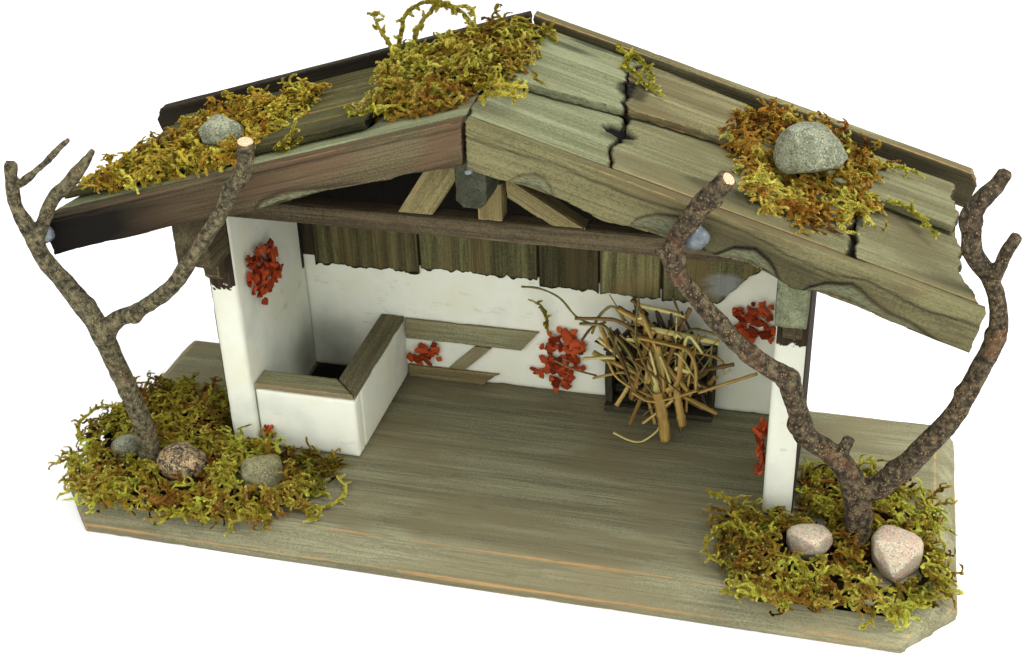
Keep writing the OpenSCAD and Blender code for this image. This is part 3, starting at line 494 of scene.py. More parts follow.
def bark(name, *tones, rusty):
    """Thin twig bark with rusty patches and small pale breathing pores."""
    m = Shade(name, 0.8)
    dark, middle, light, rust = (srgb(*tone) for tone in tones)
    place = m.place()
    patch = m.noise(place, 0.055, 4, distortion=0.6)
    wrinkle = m.noise(place, 0.32, 6, 0.68)
    fine = m.noise(place, 1.4, 3, 0.7)
    pores = m.cells(m.stretch(place, 1, 1, 0.7), 0.75)
    sprinkle = m.noise(place, 0.2, 3)
    colour = m.ramp(wrinkle, [(0.38, dark), (0.5, middle), (0.63, light)])
    colour = m.mix(m.times(m.step(patch, 0.54, 0.68), rusty), colour, rust)
    colour = m.mix(m.times(m.step(fine, 0.54, 0.68), 0.6), colour, dark)
    spots = m.times(m.step(pores, 0.32, 0.2), m.step(sprinkle, 0.4, 0.56))
    colour = m.mix(m.times(spots, 0.55), colour, srgb(178, 146, 100))
    height = m.plus(m.times(wrinkle, 1.4), m.times(spots, 0.5))
    height = m.minus(height, m.times(fine, 0.5))
    return m.finish(colour, height, depth=0.6, strength=0.9)


def cut_wood():
    """The pale end of a cut twig, with rings round its middle."""
    m = Shade("cut_end", 0.7, shine=0.3)
    rings = m.math("SINE", m.times(m.attribute("ring"), 22))
    fine = m.noise(m.place(), 1.2, 3)
    colour = m.ramp(m.plus(m.times(rings, 0.12), fine), [
        (0.3, srgb(198, 152, 112)), (0.55, srgb(226, 190, 154)), (0.8, srgb(236, 208, 178))
    ])
    colour = m.mix(m.step(m.attribute("ring"), 0.86, 1.0), colour, srgb(120, 84, 52))
    return m.finish(colour, rings, depth=0.1, strength=0.4)


MOSS_DEEP = srgb(40, 29, 9)
MOSS_TIPS = srgb(214, 208, 104)


def moss(name, *tones):
    """Dry moss. Shade runs from the dark roots to the pale tips, patch from clump to clump."""
    m = Shade(name, 0.8)
    bodies = [srgb(*tone) for tone in tones]
    shade = m.attribute("shade")
    body = m.ramp(m.attribute("patch"), list(zip((0.08, 0.36, 0.62, 0.92), bodies)))
    colour = m.mix(m.step(shade, 0.0, 0.42), MOSS_DEEP, body)
    colour = m.mix(m.times(m.step(shade, 0.6, 1.0), 0.7), colour, MOSS_TIPS)
    grit = m.noise(m.place(), 1.5, 2)
    colour = m.mix(m.times(m.step(grit, 0.58, 0.72), 0.25), colour, MOSS_DEEP)
    return m.finish(colour, grit, depth=0.2, strength=0.4)


def straw_stalk(name, *tones):
    """A dry stalk with fine lines along it."""
    m = Shade(name, 0.5, shine=0.4)
    dark, middle, light = (srgb(*tone) for tone in tones)
    along = m.attribute("grain", "Vector")
    lines = m.noise(m.stretch(along, 0.03, 2.2, 2.2), detail=4)
    patch = m.noise(m.stretch(along, 0.05, 0.1, 0.1), detail=3)
    colour = m.ramp(m.plus(m.times(lines, 0.5), m.times(patch, 0.5)), [
        (0.35, dark), (0.5, middle), (0.65, light)
    ])
    return m.finish(colour, lines, depth=0.15, strength=0.5)


def glue():
    """Set hot glue: milky and a little blue."""
    m = Shade("set_glue", 0.22, shine=0.5)
    cloud = m.noise(m.place(), 0.3, 3)
    colour = m.ramp(cloud, [(0.3, srgb(92, 102, 110)), (0.7, srgb(150, 160, 164))])
    m.shader.inputs["Transmission Weight"].default_value = 0.5
    m.shader.inputs["IOR"].default_value = 1.48
    return m.finish(colour, cloud, depth=0.3, strength=0.3)


# Boards: a piece of wood made from a CAD solid
SHARP = math.radians(25)
EDGE_STEP = 1.0
WEAR_REACH = 2.6
WANDER_SEED = 77


class Board:
    """A dense copy of a CAD solid in its own level axes, with its grain and worn edges."""

    def __init__(self, node, along, lean=0.0, voxel=1.3):
        self.node = node
        self.seed = seed_of(node)
        self.turn = Matrix.Rotation(math.radians(lean), 4, "Y")
        bm = solid_copy(node)
        bm.transform(self.turn.inverted())
        edges = [e for e in bm.edges if e.is_manifold and e.calc_face_angle() > SHARP]
        ends = np.array([[tuple(v.co) for v in e.verts] for e in edges]) / MM
        mesh = bpy.data.meshes.new(node)
        bm.to_mesh(mesh)
        bm.free()
        self.mesh = even_skin(mesh, voxel)
        self.points = read_points(self.mesh)
        self.normals = read_normals(self.mesh)
        order = [along] + [axis for axis in range(3) if axis != along]
        self.axis = along
        shift = chance(node + "_grain").uniform(100, 900, 3)
        self.grain = self.points[:, order] + shift
        self.edge = self.edge_distance(ends)
        self.stain_and_shade = np.zeros(len(self.points))
        self.scrape = np.zeros(len(self.points))
        self.smear = np.zeros(len(self.points))

    def edge_distance(self, ends):
        """How far each point is from the nearest sharp edge."""
        samples = []
        for first, second in ends:
            steps = max(2, int(np.linalg.norm(second - first) / EDGE_STEP))
            samples.append(first + (second - first) * np.linspace(0, 1, steps)[:, None])
        samples = np.concatenate(samples)
        tree = KDTree(len(samples))
        for i, sample in enumerate(samples):
            tree.insert(sample, i)
        tree.balance()
        return np.array([tree.find(point)[2] for point in self.points])

    def from_ridge(self):
        """How far each point is from the ridge's top along the slope, and below it across the slope."""
        ridge = self.turn.inverted() @ Vector((0, 0, RIDGE_TOP))
        return np.abs(self.points[:, 0] - ridge.x), ridge.z - self.points[:, 2]

    def in_frame(self):
        """The points in the frame's own axes."""
        return self.points @ np.array(self.turn.to_3x3()).T

    def weather(self, rough=0.25, dents=0.35, chips=0.8, torn=0.0):
        """Sinks fibres, dents, chipped edges and torn ends into the surface."""
        fibres = rough_noise(self.grain * (0.05, 0.8, 0.8), self.seed)
        hollows = rough_noise(self.grain * (0.02, 0.09, 0.09), self.seed + 7, 2)
        sink = rough * (0.5 + 0.5 * fibres) + dents * (0.5 + 0.5 * hollows)
        bites = rough_noise(self.grain * (0.11, 0.3, 0.3), self.seed + 13)
        near = 1 - ease(self.edge, 0.3, 2.4)
        sink = sink + near * (0.2 + chips * ease(bites, 0.05, 0.7))
        self.points = self.points - self.normals * sink[:, None]
        if torn:
            facing = self.normals[:, self.axis]
            jag = rough_noise(self.grain * (0.02, 0.42, 0.42), self.seed + 21, 4)
            back = torn * ease(np.abs(facing), 0.3, 0.8) * (0.5 + 0.5 * jag) * np.sign(facing)
            self.points[:, self.axis] -= back

    def wander(self, reach, size):
        """Lets both sides of every crack across the grain wander alike."""
        across = self.points * (0.02, 1 / size, 0)
        self.points[:, self.axis] += reach * rough_noise(across, WANDER_SEED, 3)

    def finish(self, name, material, slot, extra=None):
        """Stores what the material reads and puts the piece in the scene."""
        write_points(self.mesh, self.in_frame())
        store(self.mesh, "grain", self.grain)
        store(self.mesh, "wear", 1 - np.clip(self.edge / WEAR_REACH, 0, 1))
        store(self.mesh, "stain_and_shade", np.clip(self.stain_and_shade, 0, 1))
        store(self.mesh, "scrape", np.clip(self.scrape, 0, 1))
        store(self.mesh, "smear", np.clip(self.smear, 0, 1))
        for key, values in (extra or {}).items():
            store(self.mesh, key, values)
        piece(name, self.mesh, material, slot, [self.node])


X_AXIS, Y_AXIS, Z_AXIS = 0, 1, 2

BASE_WOOD = wood(
    "base_wood", (116, 114, 88), (146, 143, 111), (167, 165, 130), (201, 158, 101), (137, 128, 95),
    worn_from=0.27,
)
ROOF_WOOD = wood(
    "roof_wood", (99, 102, 73), (127, 131, 98), (146, 150, 117), (173, 146, 99), (112, 105, 77),
    worn_from=0.3,
)
ROOF_TAN = wood(
    "roof_wood_tan", (92, 90, 63), (121, 119, 86), (140, 140, 105), (176, 144, 96), (105, 98, 69),
    worn_from=0.3,
)
ROOF_BROWN = wood(
    "roof_wood_brown", (82, 76, 52), (118, 112, 78), (142, 138, 100), (180, 144, 96), (104, 94, 64),
    worn_from=0.3,
)
ROOF_DARK = wood(
    "roof_wood_dark", (53, 50, 27), (79, 77, 44), (101, 99, 61), (130, 111, 66), (66, 60, 34),
    worn_from=0.3, bands=0.2,
)
FASCIA_LEFT = wood(
    "fascia_wood_left", (61, 53, 38), (89, 80, 57), (108, 99, 72), (140, 107, 72), (95, 74, 55),
    bands=0.07,
)
FASCIA_RIGHT = wood(
    "fascia_wood_right", (86, 82, 55), (115, 111, 76), (133, 128, 91), (175, 142, 93), (100, 89, 61),
    bands=0.07,
)
TRUSS_WOOD = wood(
    "truss_wood", (96, 86, 56), (128, 118, 78), (150, 140, 98), (176, 154, 104), (112, 98, 64), pores=0.8
)
TIE_WOOD = wood("tie_wood", (57, 50, 36), (82, 72, 53), (103, 93, 68), (140, 112, 78), (69, 57, 43))
GREY_WOOD = wood(
    "grey_wood", (93, 98, 74), (122, 128, 99), (145, 151, 118), (168, 151, 108), (110, 111, 82), pores=0.8
)
PURLIN_WOOD = wood(
    "purlin_wood", (44, 48, 38), (62, 65, 50), (80, 82, 64), (98, 88, 64), (58, 56, 42), pores=0.8
)
CORBEL_WOOD = wood("corbel_wood", (56, 50, 36), (82, 74, 52), (104, 96, 70), (130, 110, 78), (70, 60, 42))
DARK_WOOD = wood("dark_wood", (34, 30, 22), (56, 50, 36), (76, 70, 50), (100, 86, 60), (48, 42, 30))
PLANK_WOOD = wood(
    "plank_wood", (73, 71, 45), (110, 107, 70), (139, 136, 91), (146, 131, 86), (128, 110, 70),
    bands=0.16, worn_from=0.6,
)
CAP_WOOD = wood("cap_wood", (86, 81, 58), (116, 111, 82), (134, 129, 98), (156, 132, 92), (100, 92, 66))
STRIP_WOOD = wood(
    "strip_wood", (101, 100, 75), (138, 137, 103), (158, 157, 121), (175, 151, 105), (123, 109, 81)
)
STRIP_LOW_WOOD = wood(
    "strip_low_wood", (95, 88, 60), (132, 123, 85), (154, 146, 104), (182, 155, 106), (114, 101, 70)
)
RACK_WOOD = wood("rack_wood", (36, 34, 26), (60, 57, 44), (82, 78, 60), (124, 110, 80), (50, 46, 34))
PLASTER = plaster()


def plain_board(node, along, material, slot, lean=0.0, voxel=1.3, **weathering):
    """A board that only needs its grain and wear."""
    board = Board(node, along, lean, voxel)
    board.weather(**weathering)
    board.finish(node + "_wood", material, slot)


# The corner inside the pen, painted dark as shade, and the part of the board's top that the walls enclose
PEN_CORNER = (-126, 44)
INSIDE_FROM, INSIDE_REACH = 10, 140


def base_board():
    """The base, with a chipped rim, painted shade in the corner inside the pen and a little painted shade
    on all but its right end.
    """
    board = Board("base_board", X_AXIS, voxel=1.8)
    board.weather(rough=0.2, dents=0.5, chips=0.9)
    away = np.hypot(board.points[:, 0] - PEN_CORNER[0], board.points[:, 1] - PEN_CORNER[1])
    inside = (board.points[:, 2] > INSIDE_FROM) & (np.abs(board.points[:, 0]) < INSIDE_REACH)
    # Painted shade: a little darker everywhere but at the right end
    board.stain_and_shade += 0.27 * (1 - ease(board.points[:, 0], 110, 200))
    # Painted shade in the pen's back corner
    board.stain_and_shade += 0.75 * (1 - ease(away, 20, 60)) * inside
    board.finish("base_board_wood", BASE_WOOD, "base_wood")


# The plaster is dark above these heights: on the walls' front edges, nowhere and all over; all over serves
# both for stain and for painted shade
STAIN_LINE, NEVER, ALWAYS = 121, 900, -900
# The back wall is bare plaster to the right of this place; to its left, above the foot of the planks, it is
# painted dark as shade behind and beside them
BARE_FROM = 104
# The bay behind the hay rack, painted dark as shade: its sides, its foot and its top
RACK_BAY = (44, 103, 21, 60)
# Painted shade in the pen's back corner: its middle and its reach
SHADE_PLACE, SHADE_REACH = (-128, 56, 30), (26, 26, 34)


def painted_corner_shade(board):
    """Painted shade: a soft dark cloud in the corner behind the pen."""
    away = np.linalg.norm((board.points - SHADE_PLACE) / SHADE_REACH, axis=1)
    return 0.75 * (1 - ease(away + 0.15 * rough_noise(board.points / 9, board.seed, 3), 0.2, 1.2))


def wall(node, outward, voxel=1.5):
    """A plastered wall: its outer side is stained all over, and its front edge above a line; beside and
    behind the planks and behind the hay rack it is painted dark as shade.
    """
    board = Board(node, Z_AXIS, voxel=voxel)
    stain_and_shade_from = np.full(len(board.points), NEVER, float)
    outer = board.normals @ np.array(outward) > 0.6
    front = board.normals[:, 1] < -0.6
    board.weather(rough=0.1, dents=0.35, chips=0.5)
    x, y, z = board.points.T
    plank_low, plank_high = span("back_plank_1")
    ragged = 1.5 * rough_noise(board.points / 4, board.seed + 2, 3)
    if outward[0]:
        stain_and_shade_from[front] = STAIN_LINE
        # Painted shade in the gap where the side wall meets the planks
        stain_and_shade_from[(y > plank_low[1] - 3.5 + ragged) & (z > plank_low[2])] = ALWAYS
        stain_and_shade_from[board.normals[:, 1] > 0.6] = ALWAYS
    else:
        stain_and_shade_from[np.abs(board.normals[:, 0]) > 0.6] = ALWAYS
        # Painted shade behind and beside the planks and in the bay behind the hay rack
        behind = (x < BARE_FROM) & (z > plank_low[2] + 6)
        bay = (x > RACK_BAY[0]) & (x < RACK_BAY[1]) & (z > RACK_BAY[2]) & (z < RACK_BAY[3])
        stain_and_shade_from[behind | bay] = ALWAYS
    stain_and_shade_from[outer] = ALWAYS
    # Painted shade from the pen's corner, on all but the outer side
    painted_shade = painted_corner_shade(board) * ~outer
    board.finish(node + "_plaster", PLASTER, "plaster", {"stain_and_shade_from": stain_and_shade_from, "painted_shade": painted_shade})


def pen_panel(node):
    """A low wall of the pen, with painted shade on its inner side."""
    board = Board(node, Z_AXIS, voxel=1.3)
    board.weather(rough=0.1, dents=0.3, chips=0.5)
    inner = (board.normals[:, 1] > 0.6) | (board.normals[:, 0] < -0.6)
    extra = {"stain_and_shade_from": np.full(len(board.points), NEVER), "painted_shade": 0.5 * inner}
    board.finish(node + "_plaster", PLASTER, "plaster", extra)


def walls():
    """The three walls and the pen."""
    wall("left_wall", (-1, 0, 0))
    wall("right_wall", (1, 0, 0))
    wall("back_wall", (0, 1, 0), voxel=2.0)
    pen_panel("pen_front")
    pen_panel("pen_side")


RAGGED_REACH = 7
FLUTE_PITCH = 8.5
# Above these heights the planks are painted near black as the attic's shade
ATTIC_SHADE_LOW, ATTIC_SHADE_HIGH = 125, 134
PLANK_STAIN = {1: 0.32, 2: 0.35, 3: 0.68, 4: 0.0, 5: 0.26}
# A grey smear of glue on the last plank: its middle and half sizes across and up
SMEAR_PLACE, SMEAR_SIZE = (108, 100), (15, 8)


def back_plank(number):
    """An upright board on the back wall with a ragged, burnt lower edge, painted shade in the attic and
    painted shade at its sides.
    """
    node = f"back_plank_{number}"
    board = Board(node, Z_AXIS, voxel=1.1)
    x, z = board.points[:, 0], board.points[:, 2]
    column = np.round(x / 2).astype(int)
    low = {c: z[column == c].min() for c in np.unique(column)}
    above = z - np.array([low[c] for c in column])
    jag = rough_noise(np.stack([x * 0.3, x * 0, x * 0], 1), board.seed, 4)
    board.points[:, 2] += (1 - ease(above, 0, RAGGED_REACH)) * 2.2 * (0.6 + jag)
    if number == 1:
        flutes = 0.5 - 0.5 * np.cos(2 * math.pi * x / FLUTE_PITCH)
        front = ease(-board.normals[:, 1], 0.5, 0.9)
        board.points[:, 1] += 0.7 * flutes * front
        board.stain_and_shade += 0.35 * flutes * front
    board.weather(rough=0.25, dents=0.2, chips=0.3)
    if number == 5:
        away = np.hypot((x - SMEAR_PLACE[0]) / SMEAR_SIZE[0], (z - SMEAR_PLACE[1]) / SMEAR_SIZE[1])
        streaks = rough_noise(board.points / (9, 9, 3), 8, 3)
        board.smear += 0.65 * (1 - ease(away + 0.9 * streaks, 0.3, 1.2))
    # The plank's own stain, and near black in the attic as painted shade
    board.stain_and_shade += PLANK_STAIN[number] + 0.97 * ease(z, ATTIC_SHADE_LOW, ATTIC_SHADE_HIGH)
    board.stain_and_shade += 0.9 * (1 - ease(above + 1.2 * jag, 0.6, 2.2))
    # Painted shade on the sides, in the gaps between the planks
    board.stain_and_shade += 0.6 * (1 - ease(board.edge, 0.5, 1.6)) * (np.abs(board.normals[:, 0]) > 0.3)
    board.finish(node + "_wood", PLANK_WOOD, "plank_wood")


LEFT_STRUT_LEAN, RIGHT_STRUT_LEAN = 32.4, -58.5


def truss():
    """The open truss and the stepped blocks under the front boards."""
    plain_board("tie_beam", X_AXIS, TIE_WOOD, "beam_wood", voxel=1.1)
    plain_board("king_post", Z_AXIS, TRUSS_WOOD, "truss_wood", voxel=0.9)
    plain_board("strut_left", Z_AXIS, TRUSS_WOOD, "truss_wood", LEFT_STRUT_LEAN, 0.9)
    plain_board("strut_right", Z_AXIS, TRUSS_WOOD, "truss_wood", RIGHT_STRUT_LEAN, 0.9)
    plain_board("ridge_purlin", Y_AXIS, PURLIN_WOOD, "grey_wood", voxel=1.1)
    for side, material in (("left", CORBEL_WOOD), ("right", GREY_WOOD)):
        plain_board("corbel_upper_" + side, Y_AXIS, material, "grey_wood", voxel=0.9)
        plain_board("corbel_lower_" + side, Y_AXIS, CORBEL_WOOD, "grey_wood", voxel=0.9)


# Facets carved into the lower edges of the front boards. Each is the line where it begins:
# places along the slope from the ridge, and how far below the top edge.
RIGHT_FACETS = [
    [(27, 23), (30, 18.5), (33, 16), (38, 14), (43, 14.5), (46, 17.5), (49, 22)],
    [(84, 24), (86.5, 17.5), (89, 15), (94, 11.5), (103, 9), (111, 11), (117, 16), (122, 24)],
    [(120, 25), (124.5, 20), (131, 13.5), (140, 10.5), (147, 13.5), (151, 16.5), (157, 24)],
    [(165, 24), (168, 19), (174, 14), (184, 10.5), (189, 11.5), (194, 14), (203, 17), (214, 18), (231, 23)],
]
LEFT_FACETS = [
    [(2, 22), (19, 20.5), (39, 21)],
    [(52, 23), (60, 19.5), (75, 18), (90, 16), (99, 15.5), (109, 17), (113, 18.5), (119, 23)],
]
FACET_DEPTH = 2.8
# Dark seams that wander along the front boards, and the lower edge of the brown zone below them
RIGHT_SEAM = [
    (0, 7.5), (20, 7.2), (34, 6), (47, 4.6), (62, 6), (76, 6.4), (97, 6.1), (118, 4), (134, 4.2),
    (143, 5.5), (154, 7.5), (163, 8), (173, 8.6), (182, 6.8), (189, 5.4), (202, 7.3), (217, 9.8),
    (234, 7.7),
]
LEFT_SEAM = [(0, 3.5), (60, 3), (105, 3), (133, 2.6), (151, 2.6), (170, 2.8), (189, 3.2), (230, 3)]
RIGHT_BROWN = [
    (0, 0.1), (70, 0.12), (100, 0.2), (118, 0.4), (165, 0.45), (185, 0.3), (200, 0.12), (234, 0.1)
]
LEFT_BROWN = [(0, 0.0), (90, 0.0), (130, 0.25), (170, 0.45), (205, 0.62), (230, 0.7)]


def line_at(line, places):
    """The second value of a line at each place."""
    return np.interp(places, [p[0] for p in line], [p[1] for p in line])


def fascia(side):
    """A front edge board with carved facets, a dark seam and a browner zone below it."""
    right = side == "right"
    board = Board("front_fascia_" + side, X_AXIS, LEAN[side], 0.9)
    along, down = board.from_ridge()
    front = ease(-board.normals[:, 1], 0.3, 0.8)
    wander = 0.7 * rough_noise(board.grain * (0.08, 0.2, 0.2), board.seed + 3)
    for facet in RIGHT_FACETS if right else LEFT_FACETS:
        inside = (along > facet[0][0]) & (along < facet[-1][0])
        below = (down - line_at(facet, along) + 0.4 * wander) * inside
        depth = np.clip(below / 9, 0, 1)
        board.points[:, 1] += FACET_DEPTH * depth * (front > 0)
        board.scrape += ease(below, 0.2, 1.2) * front
        board.stain_and_shade += 0.55 * np.exp(-(((below + 0.9) / 0.9) ** 2)) * inside * front
    past = down - line_at(RIGHT_SEAM if right else LEFT_SEAM, along) - wander
    board.stain_and_shade += 0.62 * np.exp(-((past / 0.65) ** 2)) * front
    board.points[:, 1] += 0.4 * np.exp(-((past / 0.8) ** 2)) * front
    zone = line_at(RIGHT_BROWN if right else LEFT_BROWN, along)
    board.stain_and_shade += zone * ease(past, 0, 2.5) * (1 - board.scrape) * front
    soft = rough_noise(board.grain * (0.03, 0.12, 0.12), board.seed + 9, 2)
    board.stain_and_shade += 0.12 * soft
    if right:
        board.stain_and_shade += 0.16 * ease(along, 60, 120)
    else:
        board.stain_and_shade += 0.5 * ease(along, 130, 220)
    board.weather(rough=0.2, dents=0.7, chips=0.7, torn=1.4)
    board.finish("front_fascia_" + side + "_wood", FASCIA_RIGHT if right else FASCIA_LEFT, "fascia_wood")


def rim(side):
    """A back edge board: light worn top and a dark inner face."""
    board = Board("back_rim_" + side, X_AXIS, LEAN[side], 1.2)
    board.weather(rough=0.3, dents=0.5, chips=1.0, torn=2.0)
    inner = ease(-board.normals[:, 1], 0.4, 0.9)
    board.stain_and_shade += 0.72 * inner * ease(board.edge, 0.4, 1.8)
    board.finish("back_rim_" + side + "_wood", ROOF_BROWN if side == "right" else DARK_WOOD, "rim_wood")


ROOF_BOARDS = {
    "left_1": (ROOF_WOOD, 0.8), "left_2": (ROOF_DARK, 1.6), "left_3": (ROOF_BROWN, 0.5),
    "left_4": (ROOF_DARK, 1.6), "right_1": (ROOF_WOOD, -1.3), "right_2": (ROOF_TAN, -1.3),
    "right_3": (ROOF_TAN, -0.6), "right_4": (ROOF_WOOD, -1.3), "right_5": (ROOF_BROWN, -1.3),
    "right_6": (ROOF_TAN, -0.6),
}
# Dark stains on the roof: place across, front to back, their half sizes and strength
ROOF_STAINS = [
    (62, -22, 9, 5, 0.5), (24, 50, 16, 4, 0.7), (64, 25, 6, 14, 0.7), (33, 62, 14, 4, 0.6),
    (118, -38, 24, 10, 0.5), (140, -20, 14, 16, 0.35), (-60, -40, 20, 6, 0.4), (58, 24, 5, 12, 0.8),
]
# A hole torn where the crack meets the lapped boards: its place and half sizes seen from above
NOTCH_PLACE, NOTCH_SIZE = (62, -14), (9, 7)
NOTCH_DEPTH = 3


def roof_board(key):
    """A roof board with torn ends, stains, a crack that wanders along its joints, and painted shade on its
    ends, its lapped edges and in its torn hole.
    """
    material, torn = ROOF_BOARDS[key]
    board = Board("roof_board_" + key, X_AXIS, LEAN[key.split("_")[0]], 1.2)
    x, y, _ = board.in_frame().T
    patchy = rough_noise(board.grain * (0.05, 0.25, 0.25), board.seed + 31, 4)
    for place_x, place_y, half_x, half_y, strength in ROOF_STAINS:
        away = ((x - place_x) / half_x) ** 2 + ((y - place_y) / half_y) ** 2
        board.stain_and_shade += strength * (1 - ease(away + 0.7 * patchy, 0.2, 1.1))
    hole = np.hypot((x - NOTCH_PLACE[0]) / NOTCH_SIZE[0], (y - NOTCH_PLACE[1]) / NOTCH_SIZE[1])
    hole = 1 - ease(hole + 0.25 * patchy, 0.8, 1.0)
    board.points[:, 2] -= NOTCH_DEPTH * hole * ease(board.normals[:, 2], 0.3, 0.8)
    # The hole is painted dark inside as shade
    board.stain_and_shade += hole
    board.weather(rough=0.25, dents=0.45, chips=0.7, torn=torn)
    board.wander(2.2, 7)
    # Painted shade on the ends and lapped edges, where the boards meet in gaps and steps
    board.stain_and_shade += 0.8 * ease(np.abs(board.normals[:, 0]), 0.3, 0.8)
    board.stain_and_shade += 0.35 * ease(np.abs(board.normals[:, 1]), 0.5, 0.9)
    board.finish("roof_board_" + key + "_wood", material, "roof_wood")


def roof():
    """The under-boarding, the edge boards and the outer boards."""
    for side in ("left", "right"):
        # The under-boarding is dark wood, dark also as painted shade under the roof and in the gaps between
        # the boards
        plain_board("roof_deck_" + side, X_AXIS, DARK_WOOD, "deck_wood", LEAN[side], 1.6, torn=2.5)
        fascia(side)
        rim(side)
    for key in ROOF_BOARDS:
        roof_board(key)


SLANT_LEAN = 45


def fittings():
    """Pen caps, wall strips and the hay rack."""
    plain_board("pen_cap_front", X_AXIS, STRIP_WOOD, "cap_wood", voxel=0.9)
    plain_board("pen_cap_side", Y_AXIS, CAP_WOOD, "cap_wood", voxel=0.9)
    plain_board("strip_upper", X_AXIS, STRIP_WOOD, "strip_wood", voxel=0.8, torn=0.8)
    plain_board("strip_lower", X_AXIS, STRIP_LOW_WOOD, "strip_wood", voxel=0.8, torn=0.8)
    plain_board("strip_slanted", X_AXIS, STRIP_WOOD, "strip_wood", -SLANT_LEAN, 0.8, torn=0.8)
    plain_board("rack_board", X_AXIS, RACK_WOOD, "rack_wood", voxel=0.9)
    plain_board("rack_ends", Z_AXIS, RACK_WOOD, "rack_wood", voxel=0.8)
    plain_board("rack_slats", X_AXIS, RACK_WOOD, "rack_wood", voxel=0.7)


# Tubes along a line of points
def smooth_line(points, step):
    """Points evenly along a smooth curve through the given ones; extra columns follow."""
    points = np.asarray(points, float)
    padded = np.vstack([2 * points[0] - points[1], points, 2 * points[-1] - points[-2]])
    dense = []
    for i in range(1, len(padded) - 2):
        a, b, c, d = padded[i - 1:i + 3]
        count = max(2, int(np.linalg.norm(c[:3] - b[:3]) / step))
        t = np.linspace(0, 1, count, endpoint=False)[:, None]
        curve = 2 * b + (c - a) * t + (2 * a - 5 * b + 4 * c - d) * t**2 + (3 * b - a - 3 * c + d) * t**3
        dense.append(0.5 * curve)
    return np.vstack([*dense, points[-1:]])


def sweep(line, radii, sides, flat=1.0, capped=True):
    """A tube round a line; returns points, four-cornered faces and the place along the tube."""
    line = np.asarray(line, float)
    ahead = unit(np.gradient(line, axis=0))
    side = np.cross(ahead[0], (0.31, 0.22, 0.92))
    rings, along = [], []
    travelled = 0.0
    for i, (middle, way) in enumerate(zip(line, ahead)):
        side = unit(side - way * (side @ way))
        up = np.cross(way, side)
        angle = np.linspace(0, 2 * math.pi, sides, endpoint=False)[:, None]
        rings.append(middle + radii[i] * (np.cos(angle) * side + flat * np.sin(angle) * up))
        if i:
            travelled += np.linalg.norm(line[i] - line[i - 1])
        along.append(np.full(sides, travelled))
    points = np.concatenate(rings)
    faces = []
    for i in range(len(line) - 1):
        for j in range(sides):
            k = (j + 1) % sides
            faces.append((i * sides + j, i * sides + k, (i + 1) * sides + k, (i + 1) * sides + j))
    if capped:
        ends = np.array([line[0], line[-1]])
        first = len(points)
        last = (len(line) - 1) * sides
        points = np.vstack([points, ends])
        along = [*along, [0, travelled]]
        for j in range(0, sides, 2):
            faces.append((first, (j + 2) % sides, j + 1, j))
            faces.append((first + 1, last + j, last + j + 1, last + (j + 2) % sides))
    return points, np.array(faces), np.concatenate(along)


def joined(parts):
    """Several lists of points and faces as one."""
    points, faces, start = [], [], 0
    for p, f in parts:
        points.append(p)
        faces.append(np.asarray(f) + start)
        start += len(p)
    return np.concatenate(points), np.concatenate(faces)


def ball(detail):
    """Points and triangles of a ball of radius 1."""
    bm = bmesh.new()
    bmesh.ops.create_icosphere(bm, subdivisions=detail, radius=1)
    points = np.array([tuple(v.co) for v in bm.verts])
    faces = np.array([[v.index for v in f.verts] for f in bm.faces])
    bm.free()
    return points, faces


# Twigs, as points on each limb's middle with its radius there
LEFT_LIMBS = [
    [(-192.5, -52, 16, 6.3), (-190, -54, 42, 5.8), (-192, -57, 67, 5.2), (-196, -60, 90, 5.2),
     (-199, -62, 109, 5.6), (-204, -64, 125, 5.3), (-211, -66, 139, 4.8), (-219.5, -68, 155, 4.5),
     (-222, -69, 167, 4.4), (-226.5, -70, 182, 3.5), (-226, -71, 193, 3.4), (-224.5, -72, 201, 3.1),
     (-222.5, -73, 208, 2.9)],
    [(-220, -69, 166, 3.6), (-208.5, -66, 187, 3.4), (-199, -64, 196, 3.4), (-191, -62, 205, 2.9),
     (-184.5, -61, 213, 1.2)],
    [(-222, -71, 196, 2.1), (-214, -72, 202, 1.9), (-205, -72, 209, 1.8), (-196, -72, 217, 1.7),
     (-189, -72, 223, 1.2)],
    [(-198.5, -62, 108, 5.2), (-189, -63, 119, 4.8), (-175.5, -65, 127, 4.3), (-161.5, -67, 137, 4.0),
     (-149, -68, 148, 3.9), (-140.5, -69, 159, 3.9), (-132, -70, 170, 3.8), (-124, -71, 181, 3.8),
     (-116, -72, 192, 3.7), (-110, -73, 203, 3.9), (-103, -74, 212, 4.1), (-99, -75, 220, 4.2),
     (-96.5, -77, 231.5, 4.4)],
]
